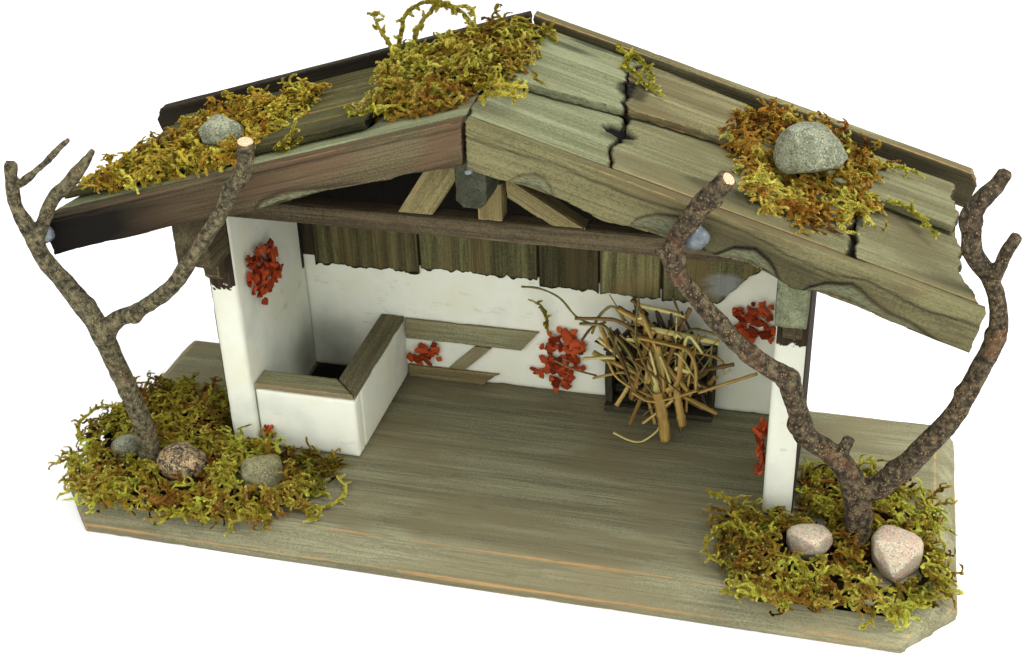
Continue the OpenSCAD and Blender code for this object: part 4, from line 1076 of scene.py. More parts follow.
RIGHT_LIMBS = [
    [(188, -41, 16.5, 7.5), (188.5, -42, 28, 6.9), (188, -44, 44, 6.9), (185, -47, 60, 6.6),
     (179, -49, 73.5, 5.7), (170, -51, 83.5, 5.2), (160, -53, 91, 5.4), (156.5, -55, 102, 5.1),
     (153, -57, 114, 5.1), (149, -60, 126, 5.1), (140, -61, 132.5, 4.5), (131, -63, 140, 4.5),
     (122, -64, 149, 4.5), (114, -65, 159, 4.5), (106.5, -66, 168, 4.2), (100.5, -67, 175.5, 4.2),
     (96, -68, 184, 4.4), (95.5, -69, 191, 4.4), (98, -70, 200, 4.3), (103, -71, 208, 4.6),
     (108, -73, 217, 4.7), (113, -74, 224, 4.6), (119, -76, 231.5, 4.3)],
    [(185, -47, 58, 6.2), (195, -47, 62.5, 6.0), (202, -47, 71, 5.8), (209, -48, 81, 5.6),
     (215, -48, 91, 5.5), (221, -48, 101.5, 5.1), (226, -48, 112.5, 4.8), (230, -48, 127, 4.7),
     (236, -48, 148, 4.5), (237, -48, 159, 4.1), (234.5, -47.5, 172, 3.9), (230, -46, 181, 4.0),
     (222, -46, 192, 4.4), (220, -45, 201, 4.5), (218.5, -45, 208, 4.7), (222.5, -46, 218, 4.0),
     (227, -46, 224, 3.8), (230, -47, 231, 3.3)],
    [(232, -47, 179, 3.2), (235, -48, 193, 2.9), (237, -48, 199, 2.8), (238.5, -48, 203, 2.4)],
    [(180, -49, 74, 4.0), (177, -50, 80, 3.2), (179.5, -50, 91, 2.6)],
    [(96, -69, 189.5, 2.6), (88, -70, 191, 1.7)],
]
# Knots on the limbs: middle and radius
LEFT_KNOTS = [(-197.5, -62, 110, 6.6), (-193, -58, 74, 5.9), (-221, -69, 165, 5.2), (-204, -64, 126, 6.0),
              (-109, -73, 205, 4.8), (-210, -70, 141, 2.6), (-176, -66, 126, 4.9)]
RIGHT_KNOTS = [(156.5, -55, 99, 6.3), (149.5, -60, 126, 6.0), (97, -69, 187, 5.3), (112, -73, 221, 5.5),
               (219, -45, 206, 5.6), (236.5, -48, 153, 5.2), (185, -46, 60, 7.4), (228, -48, 121, 5.6),
               (131, -63, 140, 5.2), (203, -47, 73, 6.4)]
TWIG_VOXEL = 0.9
CUT_END = cut_wood()
# A cut end shows this share of the limb's radius
CUT_SHARE = 0.86
BARK_LEFT = bark("bark_left", (42, 38, 31), (84, 79, 59), (122, 115, 86), (104, 82, 58), rusty=0.18)
BARK_RIGHT = bark("bark_right", (36, 31, 24), (68, 60, 46), (112, 98, 74), (120, 80, 52), rusty=0.35)


def cut_end(limb):
    """A disc on a limb's flat end, with how far each point is from its middle."""
    end, before = np.array(limb[-1]), np.array(limb[-2])
    way = unit(end[:3] - before[:3])
    side = unit(np.cross(way, (0.2, 0.9, 0.1)))
    up = np.cross(way, side)
    parts, ring = [(end[:3] + way * 0.5)[None]], [0.0]
    sides = 28
    for k in (0.35, 0.7, 1.0):
        angle = np.linspace(0, 2 * math.pi, sides, endpoint=False)[:, None]
        lift = way * (0.5 if k < 1 else -0.4)
        parts.append(end[:3] + lift + CUT_SHARE * k * end[3] * (np.cos(angle) * side + np.sin(angle) * up))
        ring += [k] * sides
    faces = [(0, 1 + (j + 1) % sides, 1 + j, 1 + j) for j in range(sides)]
    for r in range(2):
        for j in range(sides):
            k = (j + 1) % sides
            a, b = 1 + r * sides, 1 + (r + 1) * sides
            faces.append((a + j, a + k, b + k, b + j))
    return np.concatenate(parts), faces, ring


def cut_disc(name, limb):
    """The pale sawn end of a limb."""
    ends, faces, ring = cut_end(limb)
    disc = bmesh.new()
    verts = [disc.verts.new(p * MM) for p in ends]
    for face in faces:
        corners = list(dict.fromkeys(face))
        disc.faces.new([verts[c] for c in corners])
    mesh = bpy.data.meshes.new(name)
    bmesh.ops.recalc_face_normals(disc, faces=disc.faces)
    disc.to_mesh(mesh)
    disc.free()
    store(mesh, "ring", ring)
    piece(name, mesh, CUT_END, "bark", [])


def twig(name, limbs, knots, cut_limbs, material):
    """A forked twig: its limbs grown together, wrinkled, and with pale cut ends."""
    parts = []
    for limb in limbs:
        line = smooth_line(limb, 2.5)
        points, faces, _ = sweep(line[:, :3], line[:, 3], 14)
        parts.append((points, faces))
    tubes = new_mesh("tubes", *joined(parts))
    bm = bmesh.new()
    bm.from_mesh(tubes)
    for x, y, z, radius in knots:
        bmesh.ops.create_icosphere(
            bm, subdivisions=2, radius=radius * MM, matrix=Matrix.Translation(Vector((x, y, z)) * MM)
        )
    bm.to_mesh(tubes)
    bm.free()
    mesh = even_skin(tubes, TWIG_VOXEL, smooth=3)
    points, normals = read_points(mesh), read_normals(mesh)
    seed = seed_of(name)
    lumps = rough_noise(points * 0.12, seed, 3)
    wrinkles = rough_noise(points * (0.45, 0.45, 0.3), seed + 5, 4)
    points = points + normals * (0.7 * lumps + 0.3 * wrinkles)[:, None]
    points[:, 2] = np.maximum(points[:, 2], span(name)[0][2])
    write_points(mesh, points)
    piece(name + "_bark", mesh, material, "bark", [name])
    for i, limb in enumerate(cut_limbs):
        cut_disc(f"{name}_cut_{i + 1}", limb)


def twigs():
    """The two dry twigs beside the stable."""
    twig("tree_left", LEFT_LIMBS, LEFT_KNOTS, [LEFT_LIMBS[3]], BARK_LEFT)
    twig("tree_right", RIGHT_LIMBS, RIGHT_KNOTS, [RIGHT_LIMBS[0]], BARK_RIGHT)


# Moss: feathery sprigs laid over a mound
ROPE_STEP = 0.6
LEAVES = 6
# Radians from one leaf to the next
LEAF_TURN = 2.4
FLATNESS = (1, 1, 0.65)


def rope(line, leaf, radius, rng):
    """A stem with folded leaves all round it: points, triangles and shade."""
    way = unit(np.gradient(line, axis=0))
    side = unit(np.cross(way, (0.3, 0.2, 0.93)))
    up = np.cross(way, side)
    count = len(line)
    owner = np.repeat(np.arange(count), LEAVES)
    angle = (LEAF_TURN * np.arange(len(owner)) + rng.uniform(0, 6.28))[:, None]
    out = np.cos(angle) * side[owner] + np.sin(angle) * up[owner]
    across = -np.sin(angle) * side[owner] + np.cos(angle) * up[owner]
    size = (leaf * (1 - 0.45 * owner / count) * rng.uniform(0.7, 1.2, len(owner)))[:, None]
    tip = unit(1.35 * way[owner] + out)
    root = line[owner]
    middle = root + 0.45 * size * tip + 0.1 * size * out
    half_width = 0.3 * size * across
    leaves = np.stack([root, middle + half_width, root + size * tip, middle - half_width], 1)
    first = 4 * np.arange(len(owner))[:, None]
    faces = np.concatenate([first + (0, 1, 2), first + (0, 2, 3)])
    along = owner / count
    shade = np.stack([0.3 + 0.2 * along, 0.5 + 0.3 * along, 0.65 + 0.35 * along, 0.5 + 0.3 * along], 1)
    radii = np.linspace(radius, radius * 0.4, len(line[::2]))
    stem, quads, _ = sweep(line[::2], radii, 3, capped=False)
    stem_faces = np.concatenate([quads[:, [0, 1, 2]], quads[:, [0, 2, 3]]])
    points, faces = joined([(leaves.reshape(-1, 3), faces), (stem, stem_faces)])
    return points, faces, np.concatenate([shade.ravel(), np.full(len(stem), 0.25)])


def curl(rng, start, way, length, bend):
    """A curling line with a point every step."""
    line, place = [], np.array(start, float)
    turn = rng.normal(size=3)
    for _ in range(max(5, int(length / ROPE_STEP))):
        line.append(place.copy())
        turn = unit(turn + 0.5 * rng.normal(size=3))
        way = unit(way + bend * np.cross(way, turn))
        place += way * ROPE_STEP
    return np.array(line)


def moss_sprig(rng):
    """One branched, curly sprig along X from the origin."""
    main = curl(rng, (0, 0, 0), np.array((1.0, 0, 0)), rng.uniform(12, 22), 0.24)
    parts = [rope(main, 1.9, 0.5, rng)]
    sign = 1
    for i in range(4, len(main) - 4, int(rng.integers(5, 9))):
        way = unit(main[i + 1] - main[i])
        side = unit(np.cross(way, (0.1, 0.15, 1.0)) * sign + 0.5 * rng.normal(size=3))
        branch = curl(rng, main[i], unit(way + side), rng.uniform(4, 9), 0.32)
        parts.append(rope(branch, 1.5, 0.4, rng))
        sign = -sign
    points, faces = joined([(p, f) for p, f, _ in parts])
    return points * FLATNESS, faces, np.concatenate([s for _, _, s in parts])


SPRIGS = [moss_sprig(chance(f"sprig_{i}")) for i in range(18)]


def surface_samples(points, faces, count, rng):
    """Points spread over triangles by area, with the triangles' normals."""
    a, b, c = (points[faces[:, i]] for i in range(3))
    cross = np.cross(b - a, c - a)
    area = np.linalg.norm(cross, axis=1)
    chosen = rng.choice(len(faces), count, p=area / area.sum())
    u, v = rng.random((2, count, 1))
    flip = (u + v) > 1
    u, v = np.where(flip, 1 - u, u), np.where(flip, 1 - v, v)
    return a[chosen] + u * (b - a)[chosen] + v * (c - a)[chosen], unit(cross)[chosen]


def triangles_of(node):
    """A CAD node's points in mm and its triangles."""
    bm = solid_copy(node)
    bmesh.ops.triangulate(bm, faces=bm.faces)
    points = np.array([tuple(v.co) for v in bm.verts]) / MM
    faces = np.array([[v.index for v in f.verts] for f in bm.faces])
    bm.free()
    return points, faces


COVERED_SHARE = 0.04


def covers(points, stones):
    """Whether too much of a sprig lies over a stone, seen from above and in front."""
    for middle, half in stones:
        away = (points - middle) / half
        over = (np.hypot(away[:, 0], away[:, 1] + 0.25) < 1.05) & (away[:, 2] > -0.7)
        if over.mean() > COVERED_SHARE:
            return True
    return False


def turned_sprigs(places, ways, ups, scales, stones, rng):
    """Sprigs placed by their start, their direction and their upper side, clear of the stones."""
    parts, shades, owners = [], [], []
    sides = unit(np.cross(ups, ways))
    ups = np.cross(ways, sides)
    for i in range(len(places)):
        points, faces, shade = SPRIGS[rng.integers(len(SPRIGS))]
        axes = np.stack([ways[i], sides[i], ups[i]])
        points = points * scales[i] @ axes + places[i]
        if covers(points, stones):
            continue
        parts.append((points, faces))
        shades.append(shade)
        owners.append(np.full(len(points), i))
    points, faces = joined(parts)
    return points, faces, np.concatenate(shades), np.concatenate(owners)


# Sprigs on each square mm, and the size of the lumps they form
MOSS_DENSITY, LUMP = 0.026, 13.0
# Sprigs are left out where the lumps lie lower than a level drawn between these
GAP_LEVELS = (-1.1, -0.45)
# Faces that look further down than this have no sprigs
UNDERSIDE = -0.2
WISP_SHARE = 0.1
SPRIG_SCALES = (0.85, 1.3)
# How far a wisp and a sprig start back along their way, and how deep a wisp's root lies
WISP_BACK, SPRIG_BACK, WISP_SINK = 4, 7, 3.5
# The sprigs may pass the CAD box by this share of its size, and their own mound's top by this height
OVERHANG_SHARE, MOSS_OVER = 0.025, 3
CAD_LOW, CAD_HIGH = (np.array(corner) / MM for corner in cad_box)
LEAST_PLACE = CAD_LOW - OVERHANG_SHARE * (CAD_HIGH - CAD_LOW)
MOST_PLACE = CAD_HIGH + OVERHANG_SHARE * (CAD_HIGH - CAD_LOW)
ANYWHERE = 1e9
MOSS_OLIVE = moss("moss_olive", (130, 86, 30), (146, 120, 38), (160, 150, 48), (186, 190, 72))
MOSS_GOLD = moss("moss_gold", (150, 104, 34), (174, 142, 48), (188, 170, 60), (204, 198, 84))
MOSS_RIDGE = moss("moss_ridge", (124, 84, 28), (146, 120, 38), (160, 146, 48), (182, 178, 70))
MOSS_BROWN = moss("moss_brown", (134, 80, 28), (162, 116, 40), (176, 150, 56), (194, 188, 82))
STONES_IN = {
    "moss_base_left": "pebbles_left", "moss_base_right": "pebbles_right",
    "moss_roof_left": "pebbles_roof", "moss_roof_right": "pebbles_roof",
}


def sprig_roots(node, rng):
    """Where a mound's sprigs begin: places, the mound's normals there and how high the lumps are."""
    points, faces = triangles_of(node)
    a, b, c = (points[faces[:, i]] for i in range(3))
    cross = np.cross(b - a, c - a)
    double_area = np.linalg.norm(cross, axis=1)
    top_faces = faces[cross[:, 2] > UNDERSIDE * double_area]
    count = int(0.5 * double_area.sum() * MOSS_DENSITY)
    places, normals = surface_samples(points, top_faces, count, rng)
    lumps = rough_noise(places / LUMP, seed_of(node), 2)
    kept = lumps > rng.uniform(*GAP_LEVELS, count)
    return places[kept], normals[kept], lumps[kept]


def sprig_ways(normals, outward, rng):
    """The way each sprig runs over the mound, and which of them are wisps that point outward."""
    count = len(normals)
    lift = normals * rng.uniform(-0.2, 0.22, (count, 1))
    ways = unit(unit(np.cross(normals, rng.normal(size=(count, 3)))) + lift)
    wisp = rng.random(count) < WISP_SHARE * ease(1 - normals[:, 2], 0.02, 0.5) * 3
    return np.where(wisp[:, None], unit(outward + 0.6 * ways), ways), wisp


def moss_clump(node, material):
    """A CAD mound turned into moss: a bumpy core painted dark as shade, tangled sprigs and a few loose
    wisps.
    """
    rng = chance(node)
    places, normals, lumps = sprig_roots(node, rng)
    outward = unit((places - places.mean(0)) * (1, 1, 0))
    ways, wisp = sprig_ways(normals, outward, rng)
    scales = rng.uniform(*SPRIG_SCALES, len(places))
    sink = np.where(wisp, WISP_SINK, np.clip(3.2 - 4.5 * lumps, 0.6, 7))
    back = np.where(wisp, WISP_BACK, SPRIG_BACK)
    places = places - normals * sink[:, None] - outward - ways * back[:, None]
    stones = [middle_and_half(group) for group in islands(STONES_IN[node])] if node in STONES_IN else []
    sprigs, triangles, shade, owner = turned_sprigs(places, ways, normals, scales, stones, rng)
    # Painted shade: sprigs in the hollows between lumps are darker, and wisps a little lighter
    shade = shade * (0.22 + 0.86 * ease(lumps, -0.6, 0.45) + 0.15 * wisp)[owner]
    patch = 0.5 + 0.4 * rough_noise(places / 24, seed_of(node) + 3, 2) + rng.normal(0, 0.22, len(places))
    low, high = span(node)
    sprigs = np.clip(sprigs, LEAST_PLACE, np.minimum(MOST_PLACE, (ANYWHERE, ANYWHERE, high[2] + MOSS_OVER)))
    if low[2] == BASE_TOP:
        sprigs[:, 2] = np.maximum(sprigs[:, 2], low[2])
    mesh = new_mesh(node + "_sprigs", sprigs, triangles)
    store(mesh, "shade", np.clip(shade, 0, 1))
    store(mesh, "patch", np.clip(patch, 0, 1)[owner])
    piece(node + "_sprigs", mesh, material, "moss", [node], smooth=False)
    moss_core(node, material)


# The core lies this deep in the mound, at least this far down, drawn in a little and rooted in its ground
CORE_INSET = 10
CORE_SINK = -6
CORE_SHRINK = 0.93
CORE_ROOT = 1.0


def moss_core(node, material):
    """The mound below the sprigs, painted in the moss's darkest colour as shade."""
    bm = solid_copy(node)
    mesh = bpy.data.meshes.new(node)
    bm.to_mesh(mesh)
    bm.free()
    mesh = even_skin(mesh, 2.2)
    points, normals = read_points(mesh), read_normals(mesh)
    bumps = rough_noise(points / 7, seed_of(node) + 9, 4)
    inset = CORE_INSET * (1 + 0.3 * bumps)
    inward = -normals * inset[:, None]
    inward[:, 2] = np.minimum(inward[:, 2], CORE_SINK)
    points = points + inward
    middle = points.mean(0)[:2]
    points[:, :2] = middle + CORE_SHRINK * (points[:, :2] - middle)
    points[:, 2] = np.maximum(points[:, 2], span(node)[0][2] - CORE_ROOT)
    write_points(mesh, points)
    # Shade 0 paints the whole core as shade
    store(mesh, "shade", np.zeros(len(points)))
    store(mesh, "patch", 0.3 + 0.3 * bumps)
    piece(node + "_core", mesh, material, "moss", [node])


def moss_strand(name, line, material, leaf=2.2, patch=0.7):
    """One loose strand of moss laid along a line."""
    rng = chance(name)
    main = smooth_line(line, ROPE_STEP)
    main = main + 0.9 * np.stack([rough_noise(main / 4, 50 + axis, 2) for axis in range(3)], 1)
    parts = [rope(main, leaf, 0.5, rng)]
    for i in range(4, len(main) - 4, 5):
        way = unit(main[i + 1] - main[i] + rng.normal(size=3))
        branch = curl(rng, main[i], way, rng.uniform(3, 6), 0.25)
        parts.append(rope(branch, leaf * 0.8, 0.3, rng))
    points, faces = joined([(p, f) for p, f, _ in parts])
    mesh = new_mesh(name, points, faces)
    store(mesh, "shade", np.concatenate([s for _, _, s in parts]))
    store(mesh, "patch", np.full(len(points), patch))
    piece(name, mesh, material, "moss", [], smooth=False)


# Loose strands: their points across and front to back on the roof
ROOF_STRANDS = [
    [(46, 68), (48, 62), (56, 62), (63, 52), (68, 42), (66, 32)],
    [(56, 62), (53, 50), (59, 40), (66, 32), (76, 26)],
    [(185, 2), (196, 0), (203, -8), (208, -14)],
    [(180, 38), (188, 42), (195, 44), (202, 42)],
    [(-70, -20), (-62, -30), (-52, -34), (-44, -38)],
    [(-205, -36), (-212, -32), (-216, -26)],
]
STRAND_LIFT = 6.5
# Strands that start above this height are on the roof
ROOF_FROM = BASE_TOP + 80
# Loose strands that stand up: their points in space
STANDING_STRANDS = [
    [(6, 66, 62), (7, 64, 70), (5, 62, 78), (-2, 60, 84)],
    [(-98, -46, 214), (-92, -46, 218), (-88, -46, 223), (-86, -45, 229)],
    [(-96, -45, 213), (-90, -44, 216), (-84, -44, 220)],
    [(-68, 56, 224), (-74, 58, 232), (-80, 60, 240), (-82, 61, 246), (-77, 62, 244)],
    [(-68, 54, 224), (-67, 58, 236), (-65, 62, 246), (-52, 63, 253), (-36, 62, 250), (-30, 60, 243),
     (-36, 54, 232)],
    [(-58, 50, 228), (-57, 56, 240), (-50, 62, 250), (-40, 60, 252), (-30, 62, 251), (-26, 60, 240)],
    [(8, 52, 244), (14, 52, 246), (17, 50, 242), (20, 46, 238)],
    [(0, -38, 249), (8, -42, 252), (15, -38, 251), (21, -30, 248)],
    [(4, -47, 247), (11, -46, 250), (18, -42, 248), (22, -36, 245)],
    [(111, -24, 30), (120, -27, 30), (129, -28, 28), (138, -35, 24)],
    [(140, -48, 28), (129, -48, 30), (122, -52, 30), (116, -60, 27), (119, -68, 24), (127, -70, 22),
     (136, -67, 24)],
    [(127, -88, 20), (137, -88, 20), (150, -88, 21), (160, -89, 21)],
    [(211, -81, 22), (222, -75, 21), (232, -72, 21)],
    [(195, -84, 20), (199, -90, 19), (194, -95, 16)],
    [(-237, -47, 26), (-242, -38, 30), (-238, -23, 32), (-225, -17, 30), (-218, -22, 26)],
    [(-100, -69, 20), (-87, -69, 20), (-78, -59, 20), (-78, -49, 20), (-85, -44, 22)],
    [(-104, -60, 22), (-92, -58, 22), (-84, -60, 21)],
    [(-138, -77, 20), (-131, -82, 19), (-128, -88, 17), (-129, -94, 15)],
    [(-228, 26, 24), (-216, 18, 26), (-206, 12, 26)],
    [(-192, -60, 21), (-182, -66, 24), (-170, -70, 24), (-158, -66, 22)],
    [(-204, -58, 25), (-196, -62, 29), (-188, -66, 29), (-178, -68, 26)],
    [(-198, -68, 25), (-192, -62, 29), (-184, -62, 29), (-176, -72, 25)],
    [(-190, -70, 26), (-184, -64, 29), (-176, -62, 28), (-168, -66, 25)],
    [(-112, -50, 20), (-102, -48, 22), (-94, -52, 21), (-86, -56, 19)],
    [(-108, -40, 20), (-98, -44, 21), (-90, -50, 20)],
    [(-142, -56, 22), (-136, -62, 25), (-128, -60, 24), (-122, -66, 21)],
]


def moss_all():
    """The five clumps and the loose strands."""
    moss_clump("moss_base_left", MOSS_OLIVE)
    moss_clump("moss_base_right", MOSS_OLIVE)
    moss_clump("moss_roof_left", MOSS_GOLD)
    moss_clump("moss_ridge", MOSS_RIDGE)
    moss_clump("moss_roof_right", MOSS_BROWN)
    for i, plan in enumerate(ROOF_STRANDS):
        line = [(x, y, RIDGE_TOP - abs(x) * ROOF_SLOPE + STRAND_LIFT) for x, y in plan]
        moss_strand(f"moss_strand_{i + 1}", line, MOSS_OLIVE)
    for i, line in enumerate(STANDING_STRANDS):
        material, leaf = (MOSS_RIDGE, 2.7) if line[0][2] > ROOF_FROM else (MOSS_OLIVE, 2.1)
        moss_strand(f"moss_shoot_{i + 1}", line, material, leaf, patch=0.6)


# Pebbles
GREY_STONE = stone("grey_stone", (142, 146, 118), (112, 116, 92), (70, 74, 60), (178, 180, 154))
TAN_STONE = stone("tan_stone", (130, 126, 88), (106, 104, 72), (76, 72, 50), (158, 152, 112))
PINK_STONE = stone(
    "pink_stone", (48, 48, 42), (172, 142, 104), (38, 38, 34), (206, 190, 130), patches=0.3
)
BEIGE_STONE = stone("beige_stone", (190, 178, 148), (196, 168, 142), (126, 126, 126), (218, 208, 180))
# Shape of a pebble: how square it is and how many facets it has
ROUND, BLOCKY, HEWN = (2.2, 4), (3.4, 8), (2.6, 7)


def pebble(name, points, material, slot, replaced, form, turn):
    """A worn stone that fills the place of one CAD ellipsoid."""
    middle, half = middle_and_half(points)
    skin, faces = ball(detail=5)
    seed, rng = seed_of(name), chance(name)
    power, facets = form
    skin = skin / (np.abs(skin) ** power).sum(1, keepdims=True) ** (1 / power)
    for _ in range(facets):
        way = unit(rng.normal(size=3) * (1, 1, 0.8))
        over = np.maximum(skin @ way - rng.uniform(0.72, 0.9), 0)
        skin = skin - 0.9 * over[:, None] * way
    lumps = 0.05 * rough_noise(skin * 1.5 + seed % 17, seed, 3) + 0.012 * rough_noise(skin * 8, seed + 2, 3)
    skin = skin * (0.97 + lumps)[:, None]
    c, s = math.cos(turn), math.sin(turn)
    skin = skin @ np.array([[c, -s, 0], [s, c, 0], [0, 0, 1]]).T
    mesh = new_mesh(name, np.clip(skin, -1.02, 1.02) * half + middle, faces)
    piece(name, mesh, material, slot, replaced)


def pebbles():
    """The seven stones, from left to right in each group."""
    stones = [
        ("pebbles_left", "grey_stone", [(GREY_STONE, ROUND), (PINK_STONE, ROUND), (TAN_STONE, BLOCKY)]),
        ("pebbles_right", "beige_stone", [(BEIGE_STONE, BLOCKY), (BEIGE_STONE, BLOCKY)]),
        ("pebbles_roof", "grey_stone", [(GREY_STONE, ROUND), (GREY_STONE, HEWN)]),
    ]
    for node, slot, looks in stones:
        for i, (points, (material, form)) in enumerate(zip(by_place(node), looks)):
            pebble(f"{node}_{i + 1}", points, material, slot, [node], form, 0.35 * (-1) ** i)


# Terracotta chips
TERRACOTTA = terracotta()


def shard(rng, radius, thick):
    """A broken plate with straight edges, face up: points and four-cornered faces."""
    corners = int(rng.integers(4, 8))
    angles = np.sort(np.linspace(0, 2 * math.pi, corners, endpoint=False) + rng.uniform(-0.4, 0.4, corners))
    reach = radius * rng.uniform(0.65, 1.15, corners) * (1, 0.75)[int(rng.integers(2))]
    flat = np.stack([np.cos(angles) * reach, np.sin(angles) * reach * rng.uniform(0.55, 1)], 1)
    rings = []
    for grow, height in ((0.94, 0), (1.04, 0.5 * thick), (0.9, thick)):
        jitter = rng.normal(0, 0.05 * radius, (corners, 3))
        rings.append(np.column_stack([flat * grow, np.full(corners, height)]) + jitter)
    rings += [rings[0].mean(0, keepdims=True), rings[2].mean(0, keepdims=True) + (0, 0, 0.12 * thick)]
    faces = []
    for j in range(corners):
        k = (j + 1) % corners
        for low in (0, corners):
            high = low + corners
            faces += [(low + j, low + k, high + k), (low + j, high + k, high + j)]
        faces.append((3 * corners, k, j))
        faces.append((3 * corners + 1, 2 * corners + j, 2 * corners + k))
    return np.concatenate(rings), faces


CHIP_RADIUS = 5.0
# Chips draw together by this share towards the middle of those nearer than NEAR_CHIP
HEAP_PULL = 0.22
NEAR_CHIP = 40


def chips(node, outward, up, small):
    """Broken plates heaped on a wall: a large one at each CAD chip and small ones round it."""
    rng = chance(node)
    out, up = np.array(outward, float), np.array(up, float)
    right = np.cross(up, out)
    groups = islands(node)
    feet = np.array([g.mean(0) + out * ((g @ out).min() - (g @ out).mean()) for g in groups])
    spots = []
    for foot in feet:
        near = feet[np.linalg.norm(feet - foot, axis=1) < NEAR_CHIP]
        foot = foot + HEAP_PULL * (near.mean(0) - foot)
        spots.append((foot, rng.uniform(0.85, 1.15), rng.uniform(0, 1.5)))
        for _ in range(small):
            aside = right * rng.normal(0, 3.0) + up * rng.normal(0, 3.0)
            spots.append((foot + aside, rng.uniform(0.4, 0.85), rng.uniform(0, 2.6)))
    parts, tones = [], []
    for foot, size, lift in spots:
        points, faces = shard(rng, CHIP_RADIUS * size, rng.uniform(1.0, 1.8))
        tip = rng.uniform(-0.75, 0.75, 2)
        spin = Matrix.Rotation(rng.uniform(0, 6.28), 3, "Z")
        turn = Matrix.Rotation(tip[0], 3, "X") @ Matrix.Rotation(tip[1], 3, "Y") @ spin
        points = points @ np.array(turn).T
        points[:, 2] += lift - points[:, 2].min()
        parts.append((foot + points @ np.stack([right, up, out]), faces))
        tones.append(np.full(len(points), rng.random()))
    points, faces = joined(parts)
    mesh = new_mesh(node + "_broken", points[faces].reshape(-1, 3), np.arange(faces.size).reshape(-1, 3))
    store(mesh, "tone", np.concatenate(tones)[faces.ravel()])
    piece(node + "_broken", mesh, TERRACOTTA, "terracotta", [node], smooth=False)


def all_chips():
    """The chips on the three walls."""
    chips("chips_left_wall", (1, 0, 0), (0, 0, 1), 5)
    chips("chips_back_wall", (0, -1, 0), (0, 0, 1), 5)
    chips("chips_right_wall", (-1, 0, 0), (0, 0, 1), 4)


# Straw
STRAWS = {
    "tan": straw_stalk("straw_tan", (108, 80, 33), (161, 129, 62), (194, 169, 96)),
    "pale": straw_stalk("straw_pale", (150, 136, 74), (196, 184, 112), (222, 214, 146)),
    "brown": straw_stalk("straw_brown", (61, 43, 15), (108, 80, 33), (148, 114, 55)),
    "olive": straw_stalk("straw_olive", (70, 64, 28), (112, 102, 48), (150, 138, 74)),
    # The dark straw stands in for shade deep in the heap
    "dark": straw_stalk("straw_dark", (26, 19, 10), (48, 35, 18), (76, 56, 30)),
}


def stalk(rng, line, radius, flat):
    """A hollow stalk: outer and inner skin, and the rim between them at both ends."""
    radii = radius * (1 + 0.08 * rng.normal(size=len(line)))
    outer, faces, along = sweep(line, radii, 8, flat, capped=False)
    inner, _, _ = sweep(line, radii * 0.62, 8, flat, capped=False)
    count = len(outer)
    back = faces[:, ::-1] + count
    rim = []
    last = count - 8
    for j in range(8):
        k = (j + 1) % 8
        rim.append((j, j + count, k + count, k))
        rim.append((last + j, last + k, last + k + count, last + j + count))
    angle = np.tile(np.arange(8) * radius * 0.8, len(line))
    grain = np.stack([along, angle, np.zeros(count)], 1) + rng.uniform(0, 500, 3)
    return np.vstack([outer, inner]), np.vstack([faces, back, rim]), np.vstack([grain, grain])


